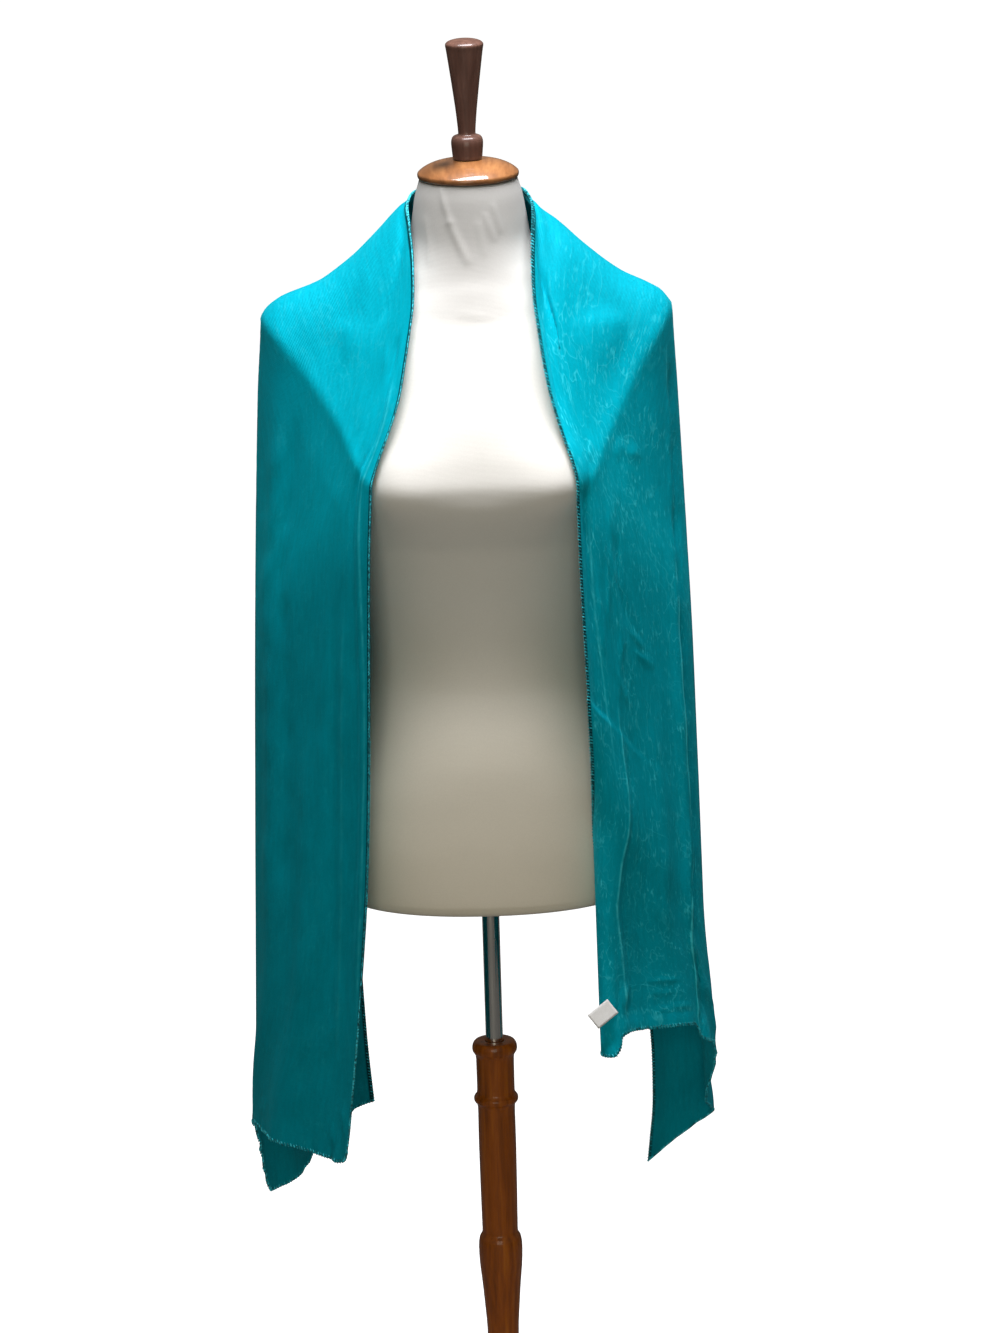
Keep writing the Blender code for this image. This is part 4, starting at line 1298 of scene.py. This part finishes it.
    def one_crease(self, crease: Crease, side: Side, at: Array) -> Array:
        """How far one crease moves each point outward.

        Args:
            crease: The crease.
            side: The side of the scarf that it is on.
            at: The points' runs and metres from the neck edge.

        Returns:
            One height for each point.
        """
        path = np.array([(side.value * run, share * self.width) for run, share in crease.path])
        lengths = np.linalg.norm(np.diff(path, axis=0), axis=1)
        start, nearest, walked = 0.0, np.full(len(at), np.inf), np.zeros(len(at))
        for low, high, length in zip(path, path[1:], lengths):
            share = np.clip(((at - low) @ (high - low)) / length**2, 0, 1)
            off = np.linalg.norm(at - low - share[:, None] * (high - low), axis=1)
            walked = np.where(off < nearest, start + share * length, walked)
            nearest = np.minimum(nearest, off)
            start += length
        ends = ease(0, crease.fade, walked) * ease(0, crease.fade, start - walked)
        # It comes and goes along its length, each crease in its own way
        uneven = 0.82 + 0.30 * np.sin(walked * 61.0 + path[0, 1] * 300.0) * np.sin(walked * 23.0 + 1.0)
        return crease.height * bump(nearest, crease.half_width) * (0.15 + 0.85 * ends) * uneven

    def hem_ripple(self, at: Array) -> Array:
        """How far the small ripples of both hems move each point outward."""
        wave = sum(
            weight * np.sin(at[:, 1] * 2 * math.pi / length + phase) for length, weight, phase in self.ripple_waves
        )
        ripple = np.zeros(len(at))
        for side in Side:
            to_hem = self.drape.end(side) - side.value * at[:, 0]
            ripple += self.ripple_height * wave * bump(to_hem, self.ripple_reach) * (side.value * at[:, 0] > 0)
        return ripple

    def build_cloth(self, finish: Material, runs: Array, shares: Array, grid: Array) -> bpy.types.Object:
        """Lays a fine grid on the drape and gives it the knit's thickness.

        Args:
            finish: The jersey's material.
            runs: Runs of the grid's rows.
            shares: Shares of its columns.
            grid: The points that it is laid on.

        Returns:
            The cloth.
        """
        rows, columns = len(runs), len(shares)
        shape = bmesh.new()
        bmesh.ops.create_grid(shape, x_segments=columns - 1, y_segments=rows - 1, size=1.0)
        shape.verts.ensure_lookup_table()
        sheet = shape.loops.layers.uv.new("cut")
        places = {
            vert: (round((vert.co.y + 1) / 2 * (rows - 1)), round((vert.co.x + 1) / 2 * (columns - 1)))
            for vert in shape.verts
        }
        for face in shape.faces:
            for loop in face.loops:
                i, j = places[loop.vert]
                loop[sheet].uv = (shares[j] * self.width, runs[i])
        for vert, (i, j) in places.items():
            vert.co = grid[i, j]
        piece = new_piece("scarf", shape, finish)
        wall = piece.modifiers.new("wall", "SOLIDIFY")
        wall.thickness = self.wall
        wall.offset = 0.0
        wall.use_even_offset = False
        return piece

    def edge_lines(self, grid: Array) -> list[tuple[Array, Array, Array]]:
        """Each edge's points, its directions into the cloth and its outward normals."""
        facing = facing_of(grid)
        edges = (
            (grid[:, 0], grid[:, 1], facing[:, 0]),
            (grid[:, -1], grid[:, -2], facing[:, -1]),
            (grid[0], grid[1], facing[0]),
            (grid[-1], grid[-2], facing[-1]),
        )
        return [(points, unit(inside - points), normal) for points, inside, normal in edges]

    def stitches(self, points: Array, inward: Array, normal: Array) -> Array:
        """Where each loop of thread sits on one edge.

        Args:
            points: The edge's points.
            inward: Its directions into the cloth.
            normal: Its outward normals.

        Returns:
            For each loop, three columns for its turned and stretched axes and one for its centre.
        """
        steps = np.linalg.norm(np.diff(points, axis=0), axis=1)
        along = np.concatenate([[0], np.cumsum(steps)])
        count = int(along[-1] / self.stitch)
        place = (np.arange(count) + 0.5) / count * along[-1]

        def at_stitches(table: Array) -> Array:
            """The table's values at the loops."""
            return np.stack([np.interp(place, along, table[:, axis]) for axis in range(3)], axis=-1)

        centre, into, out = at_stitches(points), unit(at_stitches(inward)), at_stitches(normal)
        out = unit(out - into * np.sum(out * into, axis=1, keepdims=True))
        across = into * math.cos(self.slant) + np.cross(out, into) * math.sin(self.slant)
        lean = np.cross(out, across)
        centre = centre + into * (self.bite * self.loop_inset)
        wide, long = lean * self.stitch * self.loop_width, across * self.bite * self.loop_length
        return np.stack([wide, long, out * self.loop_height, centre], axis=-1)

    def build_overlock(self, finish: Material, grid: Array) -> bpy.types.Object:
        """Binds all four edges with small slanting loops of thread.

        Args:
            finish: The thread's material.
            grid: The cloth's middle surface.

        Returns:
            The binding.
        """
        frames = np.concatenate([self.stitches(*line) for line in self.edge_lines(grid)])
        shape = bmesh.new()
        bmesh.ops.create_uvsphere(shape, u_segments=6, v_segments=5, radius=1.0)
        number = shape.verts.layers.int.new("number")
        # Each pass doubles the loops, and each loop keeps its number
        made = 1
        while made < len(frames):
            copies = bmesh.ops.duplicate(shape, geom=shape.verts[:] + shape.edges[:] + shape.faces[:])["geom"]
            for vert in (part for part in copies if isinstance(part, bmesh.types.BMVert)):
                vert[number] += made
            made *= 2
        bmesh.ops.delete(shape, geom=[v for v in shape.verts if v[number] >= len(frames)], context="VERTS")
        for vert in shape.verts:
            axes = frames[vert[number]]
            vert.co = axes[:, :3] @ np.array(vert.co) + axes[:, 3]
        bmesh.ops.recalc_face_normals(shape, faces=shape.faces)
        return new_piece("overlocked_edges", shape, finish)

    def build(self, jersey: Material, thread: Material) -> tuple[bpy.types.Object, bpy.types.Object]:
        """Makes the cloth and the binding of its edges."""
        runs, shares = self.runs(), self.shares()
        grid = self.drape.points(runs, shares, self.crease_rise(runs, shares))
        return self.build_cloth(jersey, runs, shares, grid), self.build_overlock(thread, grid)


@dataclass
class CareLabel:
    """The blank folded label that stands off the right fall's wound corner."""

    drape: Drape
    run: float = 0.979
    share: float = 0.098
    length: float = 0.0250
    width: float = 0.0185
    gap: float = 0.0016
    open_loop: float = 0.0012
    thick: float = 0.0004
    turn: float = math.radians(-48)
    lift: float = math.radians(26)
    curl: float = 0.0006
    closing: float = 0.45
    steps: int = 36

    def folded(self, walked: float) -> Pair:
        """Where a point of the tape lies along the label and off the cloth, by its distance from one end."""
        bend = math.pi * self.open_loop
        if walked < self.length:
            return walked - self.length / 2, 0.0
        if walked < self.length + bend:
            angle = (walked - self.length) / self.open_loop
            return self.length / 2 + self.open_loop * math.sin(angle), self.open_loop * (1 - math.cos(angle))
        back = walked - self.length - bend
        return self.length / 2 - back, 2 * self.open_loop * (1 - self.closing * ease(0, self.length, back))

    def build(self, finish: Material) -> bpy.types.Object:
        """Bends a strip of tape back on itself.

        Args:
            finish: The tape's material.

        Returns:
            The label.
        """
        runs = np.array([self.run - 0.01, self.run, self.run + 0.01])
        shares = np.linspace(0, 1, 201)
        grid = self.drape.points(runs, shares)
        at = int(np.argmin(np.abs(shares - self.share)))
        middle, facing = grid[1, at], facing_of(grid)[1, at]
        down = np.array([0.0, 0.0, -1.0])
        down = unit(down - facing * (down @ facing))
        along = math.cos(self.turn) * down + math.sin(self.turn) * np.cross(facing, down)
        wide = np.cross(facing, along)
        shape = bmesh.new()
        bmesh.ops.create_grid(shape, x_segments=8, y_segments=self.steps, size=1.0)
        sheet = shape.loops.layers.uv.new("cut")
        total = 2 * self.length + math.pi * self.open_loop
        for face in shape.faces:
            for loop in face.loops:
                loop[sheet].uv = (loop.vert.co.x * self.width / 2, loop.vert.co.y * total / 2)
        for vert in shape.verts:
            x, z = self.folded((vert.co.y + 1) / 2 * total)
            curl = self.curl * (x / self.length) ** 2
            side = vert.co.x * self.width / 2
            tip = (x + self.length / 2) * math.sin(self.lift)
            vert.co = middle + along * x * math.cos(self.lift) + wide * side + facing * (self.gap + z + curl + tip)
        piece = new_piece("care_label_tape", shape, finish)
        wall = piece.modifiers.new("wall", "SOLIDIFY")
        wall.thickness = self.thick
        wall.offset = 0.0
        return piece


# Turned wood and the pole

def lifted(profile: Pairs, height: float) -> Pairs:
    """A profile moved up by a height."""
    return tuple((radius, height + level) for radius, level in profile)


@dataclass
class TurnedPiece:
    """A piece turned on the stand's axis, from a profile of radii and heights."""

    name: str
    profile: Pairs
    segments: int = 96
    cuts: int = 2
    corner: float = math.radians(40)
    cut_share: float = 0.25
    cut_length: float = 0.004

    def rounded(self) -> list[Pair]:
        """The profile with each of its corners cut back, once for each cut."""
        line = list(self.profile)
        for _ in range(self.cuts):
            cut = [line[0]]
            for (r0, z0), (r1, z1) in zip(line, line[1:]):
                step = math.hypot(r1 - r0, z1 - z0)
                back = min(self.cut_share, self.cut_length / max(step, 1e-6))
                cut.append((r0 + (r1 - r0) * back, z0 + (z1 - z0) * back))
                cut.append((r1 + (r0 - r1) * back, z1 + (z0 - z1) * back))
            cut.append(line[-1])
            line = cut
        return line

    def build(self, finish: Material) -> bpy.types.Object:
        """Spins the profile about the axis.

        Args:
            finish: The piece's material.

        Returns:
            The piece.
        """
        shape = bmesh.new()
        line = [shape.verts.new((radius, 0.0, height)) for radius, height in self.rounded()]
        edges = [shape.edges.new(pair) for pair in zip(line, line[1:])]
        bmesh.ops.spin(
            shape, geom=line + edges, cent=(0, 0, 0), axis=(0, 0, 1), angle=2 * math.pi, steps=self.segments,
            use_merge=True,
        )
        bmesh.ops.remove_doubles(shape, verts=shape.verts, dist=1e-6)
        bmesh.ops.dissolve_degenerate(shape, dist=1e-6, edges=shape.edges)
        bmesh.ops.recalc_face_normals(shape, faces=shape.faces)
        return new_piece(self.name, shape, finish, self.corner)


@dataclass
class Stand:
    """The cap and finial above the form, and the pole, post and base below it."""

    neck_top: float = 1.566
    cap_rise: float = 0.0192
    seat: float = 0.0003
    post_top: float = 0.626
    bore_bottom: float = 0.285
    socket_top: float = 0.915
    pole_radius: float = 0.0093
    base_radius: float = 0.180
    base_thick: float = 0.024

    def cap(self) -> TurnedPiece:
        """The domed cap on the neck."""
        return TurnedPiece("neck_cap_wood", lifted((
            (0.0, 0.0), (0.0495, 0.0), (0.0520, 0.0012), (0.0527, 0.0035), (0.0526, 0.0060), (0.0512, 0.0076),
            (0.0480, 0.0102), (0.0430, 0.0132), (0.0360, 0.0160), (0.0270, 0.0182), (0.0165, self.cap_rise),
            (0.0, self.cap_rise),
        ), self.neck_top + self.seat), 128)

    def finial(self) -> TurnedPiece:
        """The finial: a squat knob below a tall flared stem."""
        return TurnedPiece("finial_wood", lifted((
            (0.0, 0.0), (0.0148, 0.0), (0.0153, 0.0015), (0.0160, 0.0090), (0.0167, 0.0165), (0.0163, 0.0208),
            (0.0148, 0.0238), (0.0120, 0.0252), (0.0092, 0.0256), (0.0089, 0.0285), (0.0108, 0.0500),
            (0.0146, 0.0810), (0.0190, 0.1140), (0.0199, 0.1185), (0.0196, 0.1205), (0.0170, 0.1228),
            (0.0100, 0.1248), (0.0, 0.1252),
        ), self.neck_top + 2 * self.seat + self.cap_rise), 72)

    def pole(self) -> TurnedPiece:
        """The steel pole between the form and the post."""
        low, high, r = self.bore_bottom + self.seat, self.socket_top - self.seat, self.pole_radius
        return TurnedPiece("pole_tube", (
            (0.0, low), (r - 0.0006, low), (r, low + 0.0006), (r, high - 0.0006), (r - 0.0006, high), (0.0, high),
        ), 64, 1)

    def post(self) -> TurnedPiece:
        """The turned post, with its ringed collar, two beads and a swell."""
        bore = self.pole_radius + 0.0005
        foot = lifted((
            (0.0, 0.0), (0.0330, 0.0), (0.0352, 0.0040), (0.0362, 0.0100), (0.0335, 0.0185), (0.0250, 0.0250),
            (0.0200, 0.0300),
        ), self.base_thick + self.seat)
        return TurnedPiece("post_wood", (
            *foot, (0.0178, 0.085), (0.0192, 0.0945), (0.0225, 0.0985), (0.0236, 0.1025), (0.0225, 0.1065),
            (0.0190, 0.1105), (0.0176, 0.120), (0.0200, 0.160), (0.0172, 0.225), (0.0165, 0.260), (0.0172, 0.300),
            (0.0205, 0.345), (0.0232, 0.372), (0.0238, 0.392), (0.0226, 0.4020), (0.0196, 0.4065), (0.0192, 0.4090),
            (0.0198, 0.455), (0.0202, 0.510), (0.0199, 0.5525), (0.0214, 0.5555), (0.0236, 0.5580), (0.0240, 0.5605),
            (0.0236, 0.5630), (0.0214, 0.5655), (0.0202, 0.5680), (0.0204, 0.608), (0.0216, 0.6115), (0.0239, 0.6145),
            (0.0243, 0.6178), (0.0239, 0.6212), (0.0224, 0.6245), (0.0205, self.post_top),
            (bore + 0.001, self.post_top), (bore, self.post_top - 0.001), (bore, self.bore_bottom),
            (0.0, self.bore_bottom),
        ), 96)

    def base(self) -> TurnedPiece:
        """The plain round base with a rounded rim."""
        r, t = self.base_radius, self.base_thick
        return TurnedPiece("base_wood", (
            (0.0, 0.0), (r - 0.0060, 0.0), (r - 0.0020, 0.0015), (r - 0.0007, 0.0060), (r - 0.0010, 0.0120),
            (r - 0.0045, 0.0180), (r - 0.0120, 0.0206), (0.0450, t), (0.0, t),
        ), 160)


# The studio

@dataclass
class Studio:
    """A pale floor, soft light from above and a long lens at the photo's angle."""

    distance: float = 6.0
    height: float = 2.672
    pitch: float = math.radians(15.2018)
    yaw: float = math.radians(0.1709)
    roll: float = math.radians(1.7)
    lens: float = 158.84
    floor_radius: float = 60.0
    floor_drop: float = 0.0004
    room: float = 0.15
    room_seen: float = 1.1

    def lay_floor(self, finish: Material) -> None:
        """Lays the floor just under the base."""
        shape = bmesh.new()
        bmesh.ops.create_circle(shape, cap_ends=True, segments=96, radius=self.floor_radius)
        bmesh.ops.translate(shape, verts=shape.verts, vec=(0, 0, -self.floor_drop))
        new_piece("floor", shape, finish)

    def set_camera(self) -> None:
        """Stands the camera where the photo was taken."""
        level = math.cos(self.pitch)
        ahead = Vector((math.sin(self.yaw) * level, math.cos(self.yaw) * level, -math.sin(self.pitch)))
        right = Vector((math.cos(self.yaw), -math.sin(self.yaw), 0.0))
        up = right.cross(ahead)
        tilted_right = math.cos(self.roll) * right - math.sin(self.roll) * up
        tilted_up = math.sin(self.roll) * right + math.cos(self.roll) * up
        turn = Matrix((tilted_right, tilted_up, -ahead)).transposed().to_4x4()
        data = bpy.data.cameras.new("camera")
        data.lens = self.lens
        data.sensor_width = 36.0
        data.clip_end = 200.0
        camera = bpy.data.objects.new("camera", data)
        bpy.context.scene.collection.objects.link(camera)
        camera.matrix_world = Matrix.Translation((0.0, -self.distance, self.height)) @ turn
        bpy.context.scene.camera = camera

    def panel(self, name: str, place: Triple, aim: Triple, size: Pair, power: float, colour: Triple) -> None:
        """Hangs one soft light panel.

        Args:
            name: The light's name.
            place: Where it hangs.
            aim: The point that it faces.
            size: Its width and height.
            power: Its power in watts.
            colour: Its colour.
        """
        data = bpy.data.lights.new(name, "AREA")
        data.shape = "RECTANGLE"
        data.size, data.size_y = size
        data.energy = power
        data.color = colour
        light = bpy.data.objects.new(name, data)
        bpy.context.scene.collection.objects.link(light)
        light.location = place
        light.rotation_euler = (Vector(aim) - Vector(place)).to_track_quat("-Z", "Y").to_euler()

    def set_light(self) -> None:
        """Hangs the overhead panel and the weaker frontal one, and sets the room's own light."""
        self.panel("overhead_panel", (0.07, -0.21, 2.55), (0.0, -0.06, 1.35), (0.9, 0.5), 40.0, (1.0, 1.0, 1.05))
        self.panel("front_panel", (-0.3, -4.2, 1.7), (0.0, 0.0, 1.1), (2.2, 2.2), 33.0, (1.0, 0.95, 0.80))
        world = bpy.data.worlds.new("room")
        world.use_nodes = True
        nodes, links = world.node_tree.nodes, world.node_tree.links
        nodes["Background"].inputs["Color"].default_value = (1.0, 0.96, 0.86, 1.0)
        path, glow = nodes.new("ShaderNodeLightPath"), nodes.new("ShaderNodeMapRange")
        glow.inputs["To Min"].default_value, glow.inputs["To Max"].default_value = self.room, self.room_seen
        links.new(path.outputs["Is Camera Ray"], glow.inputs["Value"])
        links.new(glow.outputs["Result"], nodes["Background"].inputs["Strength"])
        bpy.context.scene.world = world
        bpy.context.scene.view_settings.view_transform = "Standard"


def main() -> None:
    """Builds every piece, in order from the form to the studio."""
    logging.basicConfig(level=logging.INFO, format="%(message)s")
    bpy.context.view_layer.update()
    form = DressForm()
    cover = form.build(CoverFinish().make())
    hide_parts("form_body")
    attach(cover, "root")
    log.info("form cover: %d faces", len(cover.data.polygons))

    drape = Drape(form)
    cloth, binding = Scarf(drape).build(JerseyFinish().make(), OverlockFinish().make())
    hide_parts("scarf_wrap", "scarf_left_fall", "scarf_right_fall")
    for piece in (cloth, binding):
        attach(piece, "root")
        log.info("%s: %d faces", piece.name, len(piece.data.polygons))

    label = CareLabel(drape).build(TapeFinish().make())
    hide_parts("care_label")
    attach(label, "root")
    log.info("label: %d faces", len(label.data.polygons))

    stand = Stand()
    # The cap's wood carries a painted shadow of the finial on its front left
    honey = VarnishedWood(
        "honey_wood", (0.13, 0.050, 0.016), (0.24, 0.095, 0.030), (0.36, 0.16, 0.055),
        along=(1.0, 0.10, 1.0), grain=150.0, gloss=0.08, coat=0.9, finial_shadow=(-0.025, -0.017, 1.583, 0.029),
    ).make()
    walnut = VarnishedWood(
        "dark_walnut_wood", (0.050, 0.022, 0.014), (0.085, 0.040, 0.028), (0.13, 0.065, 0.045)
    ).make()
    amber = VarnishedWood("amber_wood", (0.17, 0.042, 0.001), (0.38, 0.092, 0.002), (0.55, 0.160, 0.004)).make()
    for turned, finish, node, slot in (
        (stand.cap(), honey, "neck_cap", "turned_wood"),
        (stand.finial(), walnut, "finial", "dark_wood"),
        (stand.post(), amber, "post", "turned_wood"),
        (stand.base(), amber, "base", "turned_wood"),
    ):
        piece = turned.build(finish)
        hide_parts(node)
        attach(piece, "root")
        log.info("%s: %d faces", piece.name, len(piece.data.polygons))
    pole = stand.pole().build(PolishedSteel().make())
    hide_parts("pole")
    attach(pole, "root")

    studio = Studio()
    studio.lay_floor(FloorFinish().make())
    studio.set_camera()
    studio.set_light()


if __name__ == "__main__":
    main()
